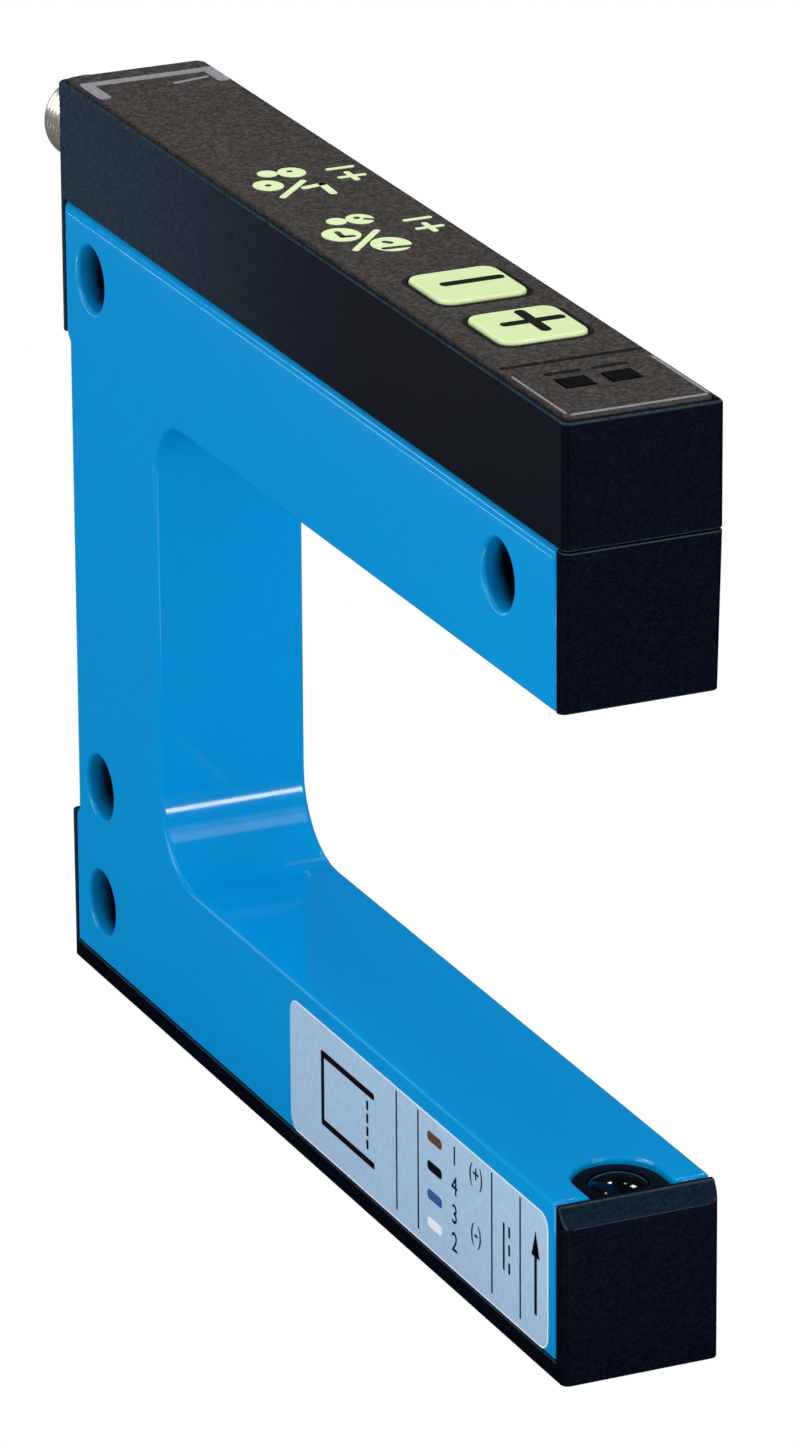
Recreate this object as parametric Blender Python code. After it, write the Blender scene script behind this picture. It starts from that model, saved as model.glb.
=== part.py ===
"""Fork sensor: a C-shaped die-cast housing with covers, keypad, optics, boards and connector.

Metres, +Z up. The fork opens toward +X and its thickness lies along Y. The origin is the
middle of the flat bottom face. The beam crosses the opening along Z, near the tips.
"""

import math

import bmesh
import bpy

MM = 0.001

# Outer sizes
THICKNESS = 10.0 * MM
FORK_OPENING = 30.0 * MM
FORK_DEPTH = 59.0 * MM
SPINE_WIDTH = 13.6 * MM
ARM_HEIGHT = 9.9 * MM
TOP_COVER_HEIGHT = 7.6 * MM
BOTTOM_COVER_HEIGHT = 1.2 * MM
TIP_COVER = 1.1 * MM
REAR_LEG = 0.6 * MM
WAIST_RECESS = 0.5 * MM
UPPER_LEG_LENGTH = 8.7 * MM
LOWER_LEG_LENGTH = 8.8 * MM

# Clearances: outside parting lines, inner seats, and sliding pieces
SEAM = 0.1 * MM
SEAT = 0.2 * MM
SLIDE = 0.15 * MM

# Housing
HOUSING_WALL = 1.2 * MM
LOWER_FILLET = 5.0 * MM
UPPER_FILLET = 4.0 * MM
EDGE_ROUND = 0.45 * MM
SHOULDER_ROUND = 0.9 * MM
SEAM_EDGE_ROUND = 0.15 * MM
HOLE_DIAMETER = 4.2 * MM
HOLE_RIM = 0.3 * MM
BOSS_WALL = 0.7 * MM
REAR_HOLE_INSET = 3.7 * MM
TIP_HOLE_INSET = 8.8 * MM
UPPER_HOLE_DROP = 4.0 * MM
LOWER_HOLE_HEIGHTS = (5.2 * MM, 13.1 * MM)

# Top cover and keypad
COVER_WALL = 1.7 * MM
COVER_FRONT_WALL = 1.2 * MM
COVER_REAR_WALL = 2.4 * MM
COVER_ROOF = 1.0 * MM
COVER_EDGE = 0.2 * MM
COVER_CORNER = 0.45 * MM
LIP_HEIGHT = 1.0 * MM
OVERLAY_THICKNESS = 0.6 * MM
OVERLAY_PROUD = 0.2 * MM
OVERLAY_SIDE_MARGIN = 0.4 * MM
OVERLAY_END_MARGIN = 0.5 * MM
OVERLAY_REAR_MARGIN = 0.5 * MM
OVERLAY_CORNER = 0.5 * MM
TIP_DRAFT = 0.5 * MM

# Keys and their switches
KEY_SIZE = 5.6 * MM
KEY_CORNER = 0.9 * MM
KEY_PROUD = 0.2 * MM
KEY_EDGE = 0.15 * MM
KEY_TRAVEL = 0.25 * MM
KEY_STEM_RADIUS = 1.5 * MM
KEY_SIDE_SHIFT = 0.3 * MM
MINUS_KEY_FROM_TIP = 24.2 * MM
KEY_PITCH = 8.2 * MM
SWITCH_SIZE = 3.4 * MM
SWITCH_HEIGHT = 1.5 * MM
SWITCH_FLOOR = 0.35 * MM
PLUNGER_RADIUS = 0.8 * MM

# Status windows
WINDOW_FROM_TIP = 6.0 * MM
WINDOW_SPACING = 2.9 * MM
WINDOW_LENGTH = 1.6 * MM
WINDOW_WIDTH = 1.8 * MM
WINDOW_FLANGE = 0.35 * MM
WINDOW_FLANGE_HEIGHT = 0.9 * MM
LED_SIZE = (1.6 * MM, 0.8 * MM, 0.6 * MM)

# Connector, a small round plug with a collar and four pins
CONNECTOR_DIAMETER = 5.5 * MM
CONNECTOR_REACH = 7.2 * MM
CONNECTOR_WALL = 0.65 * MM
CONNECTOR_STEP = 0.4 * MM
CONNECTOR_SOCKET_DEPTH = 4.6 * MM
CONNECTOR_CHAMFER = 0.3 * MM
CONNECTOR_DROP = 5.2 * MM
COLLAR_RIM = 0.65 * MM
COLLAR_WIDTH = 1.3 * MM
SEAL_SECTION = 0.6 * MM
SHELL_NECK_WALL = 0.4 * MM
INSERT_TAIL = 1.4 * MM
PIN_DIAMETER = 0.6 * MM
PIN_CIRCLE_RADIUS = 0.95 * MM
PIN_SETBACK = 0.7 * MM
PIN_TAIL = 1.0 * MM

# Optics, the same at both arms
LENS_FROM_TIP = 3.2 * MM
LENS_RADIUS = 1.8 * MM
LENS_EDGE = 0.5 * MM
LENS_CROWN = 0.5 * MM
LENS_RECESS = 0.4 * MM
SLOT_RADIUS = 2.75 * MM
SLOT_RIM = 0.25 * MM
HOLDER_WALL_STEP = 0.3 * MM
BOARD_ROOM = 3.05 * MM
EMITTER_RADIUS = 1.25 * MM
EMITTER_HEIGHT = 2.4 * MM

# Boards, chips and flex strips
BOARD_THICKNESS = 0.8 * MM
BOARD_BELOW_COVER_ROOF = 2.9 * MM
BOARD_HALF_WIDTH = 2.85 * MM
RIB_LENGTH = 1.2 * MM
RIB_WIDTH = 1.1 * MM
FLEX_THICKNESS = 0.3 * MM
FLEX_WIDTH = 3.6 * MM
FLEX_BEND = 3.0 * MM
FLEX_FROM_SPINE_FRONT = 4.0 * MM
EMITTER_BOARD_LENGTH = 13.2 * MM
BOARD_PAD = 0.1 * MM
RAIL_HEIGHT = 0.8 * MM
RAIL_WIDTH = 0.7 * MM
TIP_CHAMFER = (0.7 * MM, 1.2 * MM)
CAP_RIB_REACH = 1.8 * MM

# Packaged parts on the main board: sizes, and distances from the spine's front or the tip
REGULATOR_SIZE = (3.0 * MM, 3.0 * MM, 1.0 * MM)
REGULATOR_BEHIND_SPINE = 3.0 * MM
CONTROLLER_SIZE = (4.0 * MM, 4.0 * MM, 0.8 * MM)
CONTROLLER_FROM_SPINE = 8.5 * MM
DRIVER_SIZE = (3.0 * MM, 4.0 * MM, 1.2 * MM)
DRIVER_FROM_SPINE = 20.0 * MM
AMPLIFIER_SIZE = (3.0 * MM, 3.0 * MM, 0.8 * MM)
AMPLIFIER_FROM_TIP = 9.0 * MM

# Numbers of facets around a turned shape and along an arc
ROUND_STEPS = 32
SMALL_ROUND_STEPS = 16
ARC_STEPS = 8

# Places along X, worked out from the sizes above
LENGTH = REAR_LEG + SEAM + WAIST_RECESS + SPINE_WIDTH + FORK_DEPTH
COVER_REAR = -LENGTH / 2
TIP = LENGTH / 2
HOUSING_REAR = COVER_REAR + REAR_LEG + SEAM
WAIST_REAR = HOUSING_REAR + WAIST_RECESS
HOUSING_FRONT = TIP - TIP_COVER - SEAM
SPINE_FRONT = TIP - FORK_DEPTH
LENS_X = TIP - LENS_FROM_TIP
REAR_HOLE_X = WAIST_REAR + REAR_HOLE_INSET
TIP_HOLE_X = TIP - TIP_HOLE_INSET
MINUS_KEY_X = TIP - MINUS_KEY_FROM_TIP
WINDOW_X = TIP - WINDOW_FROM_TIP

# Heights along Z
HOUSING_BOTTOM = BOTTOM_COVER_HEIGHT + SEAM
FORK_FLOOR = HOUSING_BOTTOM + ARM_HEIGHT
FORK_CEILING = FORK_FLOOR + FORK_OPENING
HOUSING_TOP = FORK_CEILING + ARM_HEIGHT
COVER_BOTTOM = HOUSING_TOP + SEAM
COVER_TOP = COVER_BOTTOM + TOP_COVER_HEIGHT
OVERLAY_TOP = COVER_TOP + OVERLAY_PROUD
OVERLAY_BOTTOM = OVERLAY_TOP - OVERLAY_THICKNESS
RECESS_FLOOR = OVERLAY_BOTTOM - SEAM
COVER_CEILING = RECESS_FLOOR - COVER_ROOF
BOARD_TOP = COVER_CEILING - BOARD_BELOW_COVER_ROOF
BOARD_BOTTOM = BOARD_TOP - BOARD_THICKNESS
CONNECTOR_Z = COVER_TOP - CONNECTOR_DROP

# Connector radii, from its outside inwards
PLUG_RADIUS = CONNECTOR_DIAMETER / 2
SOCKET_RADIUS = PLUG_RADIUS - CONNECTOR_WALL
BORE_RADIUS = SOCKET_RADIUS - CONNECTOR_STEP
NECK_RADIUS = BORE_RADIUS + SHELL_NECK_WALL

# Half widths along Y
HALF = THICKNESS / 2
CHANNEL_HALF = HALF - HOUSING_WALL
COVER_CAVITY_HALF = HALF - COVER_WALL
BOSS_RADIUS = HOLE_DIAMETER / 2 + BOSS_WALL


def clear_scene():
    """Remove the objects that a new Blender file brings."""
    for item in list(bpy.data.objects):
        bpy.data.objects.remove(item, do_unlink=True)


def to_linear(channel):
    """Turn one sRGB channel into linear light."""
    if channel <= 0.04045:
        return channel / 12.92
    return ((channel + 0.055) / 1.055) ** 2.4


def make_material(name, hex_colour, roughness, metallic=0.0, transmission=0.0):
    """Make one Principled material from an sRGB colour."""
    material = bpy.data.materials.new(name)
    material.use_nodes = True
    shader = material.node_tree.nodes["Principled BSDF"]
    channels = [int(hex_colour[i:i + 2], 16) / 255 for i in (1, 3, 5)]
    shader.inputs["Base Color"].default_value = [to_linear(c) for c in channels] + [1.0]
    shader.inputs["Roughness"].default_value = roughness
    shader.inputs["Metallic"].default_value = metallic
    shader.inputs["Transmission Weight"].default_value = transmission
    return material


def arc(centre, radius, start, end, steps=ARC_STEPS):
    """Points along an arc, angles in degrees, both ends included."""
    points = []
    for step in range(steps + 1):
        angle = math.radians(start + (end - start) * step / steps)
        points.append((centre[0] + radius * math.cos(angle), centre[1] + radius * math.sin(angle)))
    return points


def rounded_rectangle(centre, half_sizes, radius, steps=4):
    """Outline of a rectangle with round corners, counter-clockwise."""
    across = half_sizes[0] - radius
    along = half_sizes[1] - radius
    points = []
    for turn, (sx, sy) in enumerate(((1, 1), (-1, 1), (-1, -1), (1, -1))):
        corner = (centre[0] + sx * across, centre[1] + sy * along)
        points += arc(corner, radius, 90 * turn, 90 * turn + 90, steps)
    return points


def slot_outline(centre_x, radius, front_x):
    """A U open toward +X: half a circle at the rear and two straight sides."""
    rear = arc((centre_x, 0.0), radius, 90, 270, 2 * ARC_STEPS)
    return rear + [(front_x, -radius), (front_x, radius)]


def add_box(mesh, along_x, along_y, along_z):
    """Add a box between the given limits and return its vertices."""
    made = bmesh.ops.create_cube(mesh, size=1.0)["verts"]
    for vert in made:
        for axis, (low, high) in enumerate((along_x, along_y, along_z)):
            vert.co[axis] = low if vert.co[axis] < 0 else high
    return made


def add_prism(mesh, outline, low, high, axis="Z"):
    """Extrude a flat outline. Along Z it is read as x, y and along Y as x, z."""
    if axis == "Z":
        base = [mesh.verts.new((a, b, low)) for a, b in outline]
        step = (0.0, 0.0, high - low)
    else:
        base = [mesh.verts.new((a, low, b)) for a, b in outline]
        step = (0.0, high - low, 0.0)
    face = mesh.faces.new(base)
    moved = bmesh.ops.extrude_face_region(mesh, geom=[face])["geom"]
    verts = [item for item in moved if isinstance(item, bmesh.types.BMVert)]
    bmesh.ops.translate(mesh, verts=verts, vec=step)
    return base + verts


def add_stack(mesh, rings):
    """Join outlines of equal length, each with its height, into one closed solid."""
    loops = [[mesh.verts.new((x, y, height)) for x, y in outline] for outline, height in rings]
    for lower, upper in zip(loops, loops[1:]):
        for index in range(len(lower)):
            mesh.faces.new((lower[index - 1], lower[index], upper[index], upper[index - 1]))
    mesh.faces.new(loops[0])
    mesh.faces.new(loops[-1])


def add_turned(mesh, profile, centre, axis="Z", segments=ROUND_STEPS):
    """Spin a profile of (radius, height) points about an axis through the centre."""
    verts = [mesh.verts.new((radius, 0.0, height)) for radius, height in profile]
    edges = [mesh.edges.new(pair) for pair in zip(verts, verts[1:])]
    if profile[0][0] > 0:
        edges.append(mesh.edges.new((verts[-1], verts[0])))
    before = set(mesh.verts) - set(verts)
    bmesh.ops.spin(mesh, geom=verts + edges, cent=(0, 0, 0), axis=(0, 0, 1),
                   angle=math.tau, steps=segments, use_merge=True)
    made = [vert for vert in mesh.verts if vert not in before]
    bmesh.ops.remove_doubles(mesh, verts=made, dist=0.001 * MM)
    made = [vert for vert in mesh.verts if vert not in before]
    for vert in made:
        x, y, z = vert.co
        if axis == "X":
            vert.co = (z, x, y)
        elif axis == "Y":
            vert.co = (y, z, x)
        vert.co.x += centre[0]
        vert.co.y += centre[1]
        vert.co.z += centre[2]
    return made


def round_edges(mesh, width, steps, wanted):
    """Bevel the edges that the test picks."""
    chosen = [edge for edge in mesh.edges if wanted(edge)]
    bmesh.ops.bevel(mesh, geom=chosen, offset=width, segments=steps, profile=0.5,
                    affect="EDGES", clamp_overlap=True)


def is_vertical(edge):
    """True for an edge that runs along Z."""
    first, last = edge.verts
    return abs(first.co.x - last.co.x) < SEAM / 10 and abs(first.co.y - last.co.y) < SEAM / 10


def both_ends(edge, axis, value):
    """True if both ends of an edge lie at a value along an axis."""
    return all(abs(vert.co[axis] - value) < SEAM / 10 for vert in edge.verts)


def make_object(name, mesh, material, origin=(0.0, 0.0, 0.0), smooth_angle=35):
    """Turn a bmesh into a named object with its origin at the given place."""
    mesh.normal_update()
    bmesh.ops.recalc_face_normals(mesh, faces=mesh.faces)
    bmesh.ops.translate(mesh, verts=mesh.verts, vec=[-value for value in origin])
    data = bpy.data.meshes.new(name)
    mesh.to_mesh(data)
    mesh.free()
    data.shade_smooth()
    data.set_sharp_from_angle(angle=math.radians(smooth_angle))
    item = bpy.data.objects.new(name, data)
    item.location = origin
    if material:
        data.materials.append(material)
    bpy.context.collection.objects.link(item)
    return item


def apply_tool(target, mesh, operation, name):
    """Cut or join a helper solid, which stays in the file as a wire guide."""
    tool = make_object(name, mesh, None)
    tool.hide_render = True
    tool.display_type = "WIRE"
    modifier = target.modifiers.new(name, "BOOLEAN")
    modifier.operation = operation
    modifier.solver = "EXACT"
    modifier.object = tool


def build_housing(material):
    """The die-cast C: rounded outside, one channel inside, bosses, holes and lens slots."""
    upper_step = HOUSING_TOP - UPPER_LEG_LENGTH
    lower_step = HOUSING_BOTTOM + LOWER_LEG_LENGTH
    outline = [
        (HOUSING_REAR, HOUSING_BOTTOM),
        (HOUSING_FRONT, HOUSING_BOTTOM),
        (HOUSING_FRONT, FORK_FLOOR),
    ]
    outline += arc((SPINE_FRONT + LOWER_FILLET, FORK_FLOOR + LOWER_FILLET), LOWER_FILLET, 270, 180)
    outline += arc((SPINE_FRONT + UPPER_FILLET, FORK_CEILING - UPPER_FILLET), UPPER_FILLET, 180, 90)
    outline += [
        (HOUSING_FRONT, FORK_CEILING),
        (HOUSING_FRONT, HOUSING_TOP),
        (HOUSING_REAR, HOUSING_TOP),
        (HOUSING_REAR, upper_step),
        (WAIST_REAR, upper_step - WAIST_RECESS),
        (WAIST_REAR, lower_step + WAIST_RECESS),
        (HOUSING_REAR, lower_step),
    ]
    mesh = bmesh.new()
    add_prism(mesh, outline, -HALF, HALF, "Y")
    weights = mesh.edges.layers.float.new("bevel_weight_edge")
    for edge in mesh.edges:
        if edge.calc_face_angle(0.0) < math.radians(30):
            continue
        at_top = both_ends(edge, 2, HOUSING_TOP)
        radius = EDGE_ROUND
        if at_top and (both_ends(edge, 1, -HALF) or both_ends(edge, 1, HALF)):
            radius = SHOULDER_ROUND
        elif at_top or both_ends(edge, 2, HOUSING_BOTTOM):
            radius = SEAM_EDGE_ROUND
        edge[weights] = radius / SHOULDER_ROUND
    housing = make_object("housing", mesh, material)
    bevel = housing.modifiers.new("rounded edges", "BEVEL")
    bevel.limit_method = "WEIGHT"
    bevel.width = SHOULDER_ROUND
    bevel.segments = 3

    apply_tool(housing, channel_shape(), "DIFFERENCE", "housing_channel_cutter")
    apply_tool(housing, boss_shapes(), "UNION", "housing_boss_guide")
    apply_tool(housing, hole_shapes(), "DIFFERENCE", "housing_hole_cutter")
    apply_tool(housing, lens_slot_shapes(), "DIFFERENCE", "housing_lens_slot_cutter")
    return housing


def channel_shape():
    """The C-shaped channel, open at the top, the bottom and both tips."""
    inner_rear = WAIST_REAR + HOUSING_WALL
    past_front = TIP + SEAM
    outline = [
        (inner_rear, HOUSING_BOTTOM - HOUSING_WALL),
        (past_front, HOUSING_BOTTOM - HOUSING_WALL),
        (past_front, FORK_FLOOR - HOUSING_WALL),
    ]
    lower_centre = (SPINE_FRONT + LOWER_FILLET, FORK_FLOOR + LOWER_FILLET)
    upper_centre = (SPINE_FRONT + UPPER_FILLET, FORK_CEILING - UPPER_FILLET)
    outline += arc(lower_centre, LOWER_FILLET + HOUSING_WALL, 270, 180)
    outline += arc(upper_centre, UPPER_FILLET + HOUSING_WALL, 180, 90)
    outline += [
        (past_front, FORK_CEILING + HOUSING_WALL),
        (past_front, HOUSING_TOP + HOUSING_WALL),
        (inner_rear, HOUSING_TOP + HOUSING_WALL),
    ]
    mesh = bmesh.new()
    add_prism(mesh, outline, -CHANNEL_HALF, CHANNEL_HALF, "Y")
    return mesh


def hole_centres():
    """The four mounting holes, as x and z."""
    upper = HOUSING_TOP - UPPER_HOLE_DROP
    lower = [(REAR_HOLE_X, height) for height in LOWER_HOLE_HEIGHTS]
    return [(REAR_HOLE_X, upper), (TIP_HOLE_X, upper)] + lower


def boss_shapes():
    """Solid bosses that carry the mounting holes across the channel."""
    mesh = bmesh.new()
    reach = CHANNEL_HALF + HOUSING_WALL / 2
    profile = [(0.0, reach), (BOSS_RADIUS, reach), (BOSS_RADIUS, -reach), (0.0, -reach)]
    for x, z in hole_centres():
        add_turned(mesh, profile, (x, 0.0, z), "Y")
    return mesh


def hole_shapes():
    """Through holes with a rounded rim at both faces."""
    mesh = bmesh.new()
    radius = HOLE_DIAMETER / 2
    rim = [(radius + HOLE_RIM * (1 - math.cos(math.radians(a))),
            HALF - HOLE_RIM * (1 - math.sin(math.radians(a)))) for a in (0, 30, 60, 90)]
    past = (radius + HOLE_RIM, HALF + HOLE_RIM)
    upper = [past] + rim[::-1]
    lower = [(r, -h) for r, h in reversed(upper)]
    profile = [(0.0, past[1])] + upper + lower + [(0.0, -past[1])]
    for x, z in hole_centres():
        add_turned(mesh, profile, (x, 0.0, z), "Y")
    return mesh


def lens_slot_shapes():
    """U-shaped windows for the lens holders, with a rounded rim toward the opening."""
    mesh = bmesh.new()
    past_front = TIP + SEAM
    rim = [(SLOT_RIM * (1 - math.cos(math.radians(a))), SLOT_RIM * (1 - math.sin(math.radians(a))))
           for a in (0, 30, 60, 90)]
    steps = [(0.0, HOUSING_WALL + SEAT)] + rim + [(SLOT_RIM, -SLOT_RIM)]
    for face, inward in ((FORK_FLOOR, -1), (FORK_CEILING, 1)):
        add_stack(mesh, [(slot_outline(LENS_X, SLOT_RADIUS + wider, past_front), face + inward * depth)
                         for wider, depth in steps])
    return mesh


def build_top_cover(material):
    """Black cover along the whole top, with a rear leg, a lip and a stiff rear wall."""
    leg_bottom = HOUSING_TOP - UPPER_LEG_LENGTH
    outline = [
        (COVER_REAR, leg_bottom),
        (COVER_REAR + REAR_LEG, leg_bottom),
        (COVER_REAR + REAR_LEG, COVER_BOTTOM),
        (TIP, COVER_BOTTOM),
        (TIP, COVER_TOP),
        (COVER_REAR, COVER_TOP),
    ]
    mesh = bmesh.new()
    add_prism(mesh, outline, -HALF, HALF, "Y")
    round_edges(mesh, COVER_CORNER, 3,
                lambda e: is_vertical(e) and (both_ends(e, 0, TIP) or both_ends(e, 0, COVER_REAR)))
    round_edges(mesh, COVER_EDGE, 2,
                lambda e: both_ends(e, 2, COVER_TOP))
    cover = make_object("top_cover", mesh, material)

    lip = bmesh.new()
    lip_half = CHANNEL_HALF - SEAT
    lip_front = HOUSING_FRONT - SEAT
    lip_rear = WAIST_REAR + HOUSING_WALL + SEAT
    add_box(lip, (lip_rear, lip_front), (-lip_half, lip_half),
            (COVER_BOTTOM - LIP_HEIGHT, COVER_BOTTOM + LIP_HEIGHT))
    apply_tool(cover, lip, "UNION", "cover_lip_guide")

    cavity = bmesh.new()
    cavity_rear = COVER_REAR + COVER_REAR_WALL
    cavity_front = TIP - COVER_FRONT_WALL - SEAT - HOUSING_WALL
    add_box(cavity, (cavity_rear, cavity_front), (-COVER_CAVITY_HALF, COVER_CAVITY_HALF),
            (COVER_BOTTOM - 2 * LIP_HEIGHT, COVER_CEILING))
    apply_tool(cover, cavity, "DIFFERENCE", "cover_cavity_cutter")
    apply_tool(cover, cover_rib_shapes(), "UNION", "cover_rib_guide")

    recess = bmesh.new()
    add_prism(recess, overlay_outline(SEAM), RECESS_FLOOR, COVER_TOP + OVERLAY_THICKNESS)
    apply_tool(cover, recess, "DIFFERENCE", "cover_recess_cutter")
    apply_tool(cover, cover_opening_shapes(), "DIFFERENCE", "cover_opening_cutter")
    return cover


def cover_rib_shapes():
    """Short ribs on the side walls that hold the main board down at its edges."""
    mesh = bmesh.new()
    places = (
        COVER_REAR + COVER_REAR_WALL + 6 * RIB_LENGTH,
        SPINE_FRONT + 6 * RIB_LENGTH,
        MINUS_KEY_X - KEY_SIZE,
        WINDOW_X - 3 * RIB_LENGTH,
    )
    for x in places:
        for side in (-1, 1):
            span = sorted((side * (BOARD_HALF_WIDTH - RIB_WIDTH / 2), side * (HALF - COVER_WALL / 2)))
            add_box(mesh, (x - RIB_LENGTH / 2, x + RIB_LENGTH / 2), span,
                    (BOARD_TOP + BOARD_PAD, COVER_CEILING + COVER_ROOF / 2))
    return mesh


def overlay_outline(margin=0.0):
    """The keypad plate's outline, grown by a margin for its recess."""
    rear = COVER_REAR + OVERLAY_REAR_MARGIN - margin
    front = TIP - OVERLAY_END_MARGIN + margin
    half = HALF - OVERLAY_SIDE_MARGIN + margin
    return rounded_rectangle(((rear + front) / 2, 0.0), ((front - rear) / 2, half),
                             OVERLAY_CORNER + margin)


def window_places():
    """The two status windows, as x and y."""
    return [(WINDOW_X, side * WINDOW_SPACING / 2) for side in (-1, 1)]


def key_places():
    """The two keys by name, as x and y."""
    return {
        "minus": (MINUS_KEY_X, KEY_SIDE_SHIFT),
        "plus": (MINUS_KEY_X + KEY_PITCH, KEY_SIDE_SHIFT),
    }


def cover_opening_shapes():
    """Openings through the recessed roof for keys and windows, and the connector's hole."""
    mesh = bmesh.new()
    under = COVER_CEILING - COVER_ROOF
    above = RECESS_FLOOR + COVER_ROOF
    stem_hole = KEY_STEM_RADIUS + SLIDE
    for x, y in key_places().values():
        profile = [(0.0, above), (stem_hole, above), (stem_hole, under), (0.0, under)]
        add_turned(mesh, profile, (x, y, 0.0))
    for x, y in window_places():
        half_x = WINDOW_LENGTH / 2 + SEAM
        half_y = WINDOW_WIDTH / 2 + SEAM
        add_box(mesh, (x - half_x, x + half_x), (y - half_y, y + half_y), (under, above))
    neck_hole = NECK_RADIUS + SEAM
    rear = COVER_REAR - COVER_REAR_WALL
    front = COVER_REAR + COVER_REAR_WALL + COVER_ROOF
    profile = [(0.0, front), (neck_hole, front), (neck_hole, rear), (0.0, rear)]
    add_turned(mesh, profile, (0.0, 0.0, CONNECTOR_Z), "X")
    return mesh


def build_overlay(material):
    """Keypad plate that lies in the cover's recess."""
    mesh = bmesh.new()
    add_prism(mesh, overlay_outline(), OVERLAY_BOTTOM, OVERLAY_TOP)
    overlay = make_object("keypad_overlay", mesh, material)
    openings = bmesh.new()
    low = OVERLAY_BOTTOM - OVERLAY_THICKNESS
    high = OVERLAY_TOP + OVERLAY_THICKNESS
    half = KEY_SIZE / 2 + SLIDE
    for place in key_places().values():
        add_prism(openings, rounded_rectangle(place, (half, half), KEY_CORNER + SLIDE), low, high)
    for x, y in window_places():
        half_x = WINDOW_LENGTH / 2 + SEAM
        half_y = WINDOW_WIDTH / 2 + SEAM
        add_box(openings, (x - half_x, x + half_x), (y - half_y, y + half_y), (low, high))
    apply_tool(overlay, openings, "DIFFERENCE", "overlay_opening_cutter")
    return overlay


def build_upper_end_cap(material):
    """Tapered cap that closes the upper arm's tip, below the top cover's front wall."""
    low = FORK_CEILING + SEAM
    inner = HOUSING_FRONT + SEAM
    outline = [
        (inner, low),
        (TIP - TIP_DRAFT, low),
        (TIP, HOUSING_TOP),
        (inner, HOUSING_TOP),
    ]
    mesh = bmesh.new()
    add_prism(mesh, outline, -HALF, HALF, "Y")

    def at_tip_corner(edge):
        on_front = all(vert.co.x > TIP - TIP_DRAFT - SEAM / 10 for vert in edge.verts)
        along_front = abs(edge.verts[0].co.y - edge.verts[1].co.y) < SEAM / 10
        return on_front and along_front

    round_edges(mesh, COVER_CORNER, 3, at_tip_corner)
    cap = make_object("upper_end_cap", mesh, material)
    ribs = bmesh.new()
    for side in (-1, 1):
        outer = CHANNEL_HALF - SEAT
        span = sorted((side * outer, side * (SLOT_RADIUS + SEAM)))
        add_box(ribs, (HOUSING_FRONT - CAP_RIB_REACH, inner + TIP_COVER / 4), span,
                (low + HOUSING_WALL + SEAT, COVER_BOTTOM - LIP_HEIGHT - SEAT))
    apply_tool(cap, ribs, "UNION", "end_cap_rib_guide")
    return cap


def build_bottom_cover(material):
    """Bottom strip, rear leg and lower tip wall in one piece, with rails inside the channel."""
    leg_top = HOUSING_BOTTOM + LOWER_LEG_LENGTH
    inner_rear = COVER_REAR + REAR_LEG
    inner_front = HOUSING_FRONT + SEAM
    chamfer_x, chamfer_z = TIP_CHAMFER
    wall_top = FORK_FLOOR - SEAM
    outline = [
        (COVER_REAR, 0.0),
        (TIP, 0.0),
        (TIP, wall_top - chamfer_z),
        (TIP - chamfer_x, wall_top),
        (inner_front, wall_top),
        (inner_front, BOTTOM_COVER_HEIGHT),
        (inner_rear, BOTTOM_COVER_HEIGHT),
        (inner_rear, leg_top),
        (COVER_REAR, leg_top),
    ]
    mesh = bmesh.new()
    add_prism(mesh, outline, -HALF, HALF, "Y")

    def outer_corner(edge):
        rear_corner = both_ends(edge, 0, COVER_REAR) and both_ends(edge, 2, 0.0)
        standing = is_vertical(edge) and (both_ends(edge, 0, COVER_REAR) or both_ends(edge, 0, TIP))
        return rear_corner or standing

    round_edges(mesh, COVER_CORNER, 3, outer_corner)
    cover = make_object("bottom_cover", mesh, material)
    rails = bmesh.new()
    outer = CHANNEL_HALF - SEAT
    rail_top = BOTTOM_COVER_HEIGHT + RAIL_HEIGHT
    below = BOTTOM_COVER_HEIGHT / 2
    rail_rear = WAIST_REAR + HOUSING_WALL + SEAT
    pads = bmesh.new()
    for side in (-1, 1):
        span = sorted((side * outer, side * (outer - RAIL_WIDTH)))
        add_box(rails, (rail_rear, HOUSING_FRONT - SEAT), span, (below, rail_top))
        pad = sorted((side * (outer - RAIL_WIDTH / 4), side * (BOARD_HALF_WIDTH - RIB_WIDTH)))
        for x in (emitter_board_rear() + RIB_LENGTH, HOUSING_FRONT - 2 * RIB_LENGTH):
            add_box(pads, (x - RIB_LENGTH / 2, x + RIB_LENGTH / 2), pad,
                    (below, emitter_board_bottom() - BOARD_PAD))
    apply_tool(cover, rails, "UNION", "bottom_rail_guide")
    apply_tool(cover, pads, "UNION", "bottom_pad_guide")
    return cover


def emitter_board_rear():
    """Rear end of the emitter board."""
    return HOUSING_FRONT - SEAT - EMITTER_BOARD_LENGTH


def holder_span():
    """Lower holder's bottom and top, which the upper one mirrors."""
    return HOUSING_BOTTOM + BOARD_ROOM, FORK_FLOOR - LENS_RECESS


def emitter_board_bottom():
    """Underside of the emitter board, below the lower lens holder."""
    return holder_span()[0] - SEAT - BOARD_THICKNESS


def mirrored(height):
    """Height of the same point in the other arm."""
    return FORK_FLOOR + FORK_CEILING - height


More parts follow.
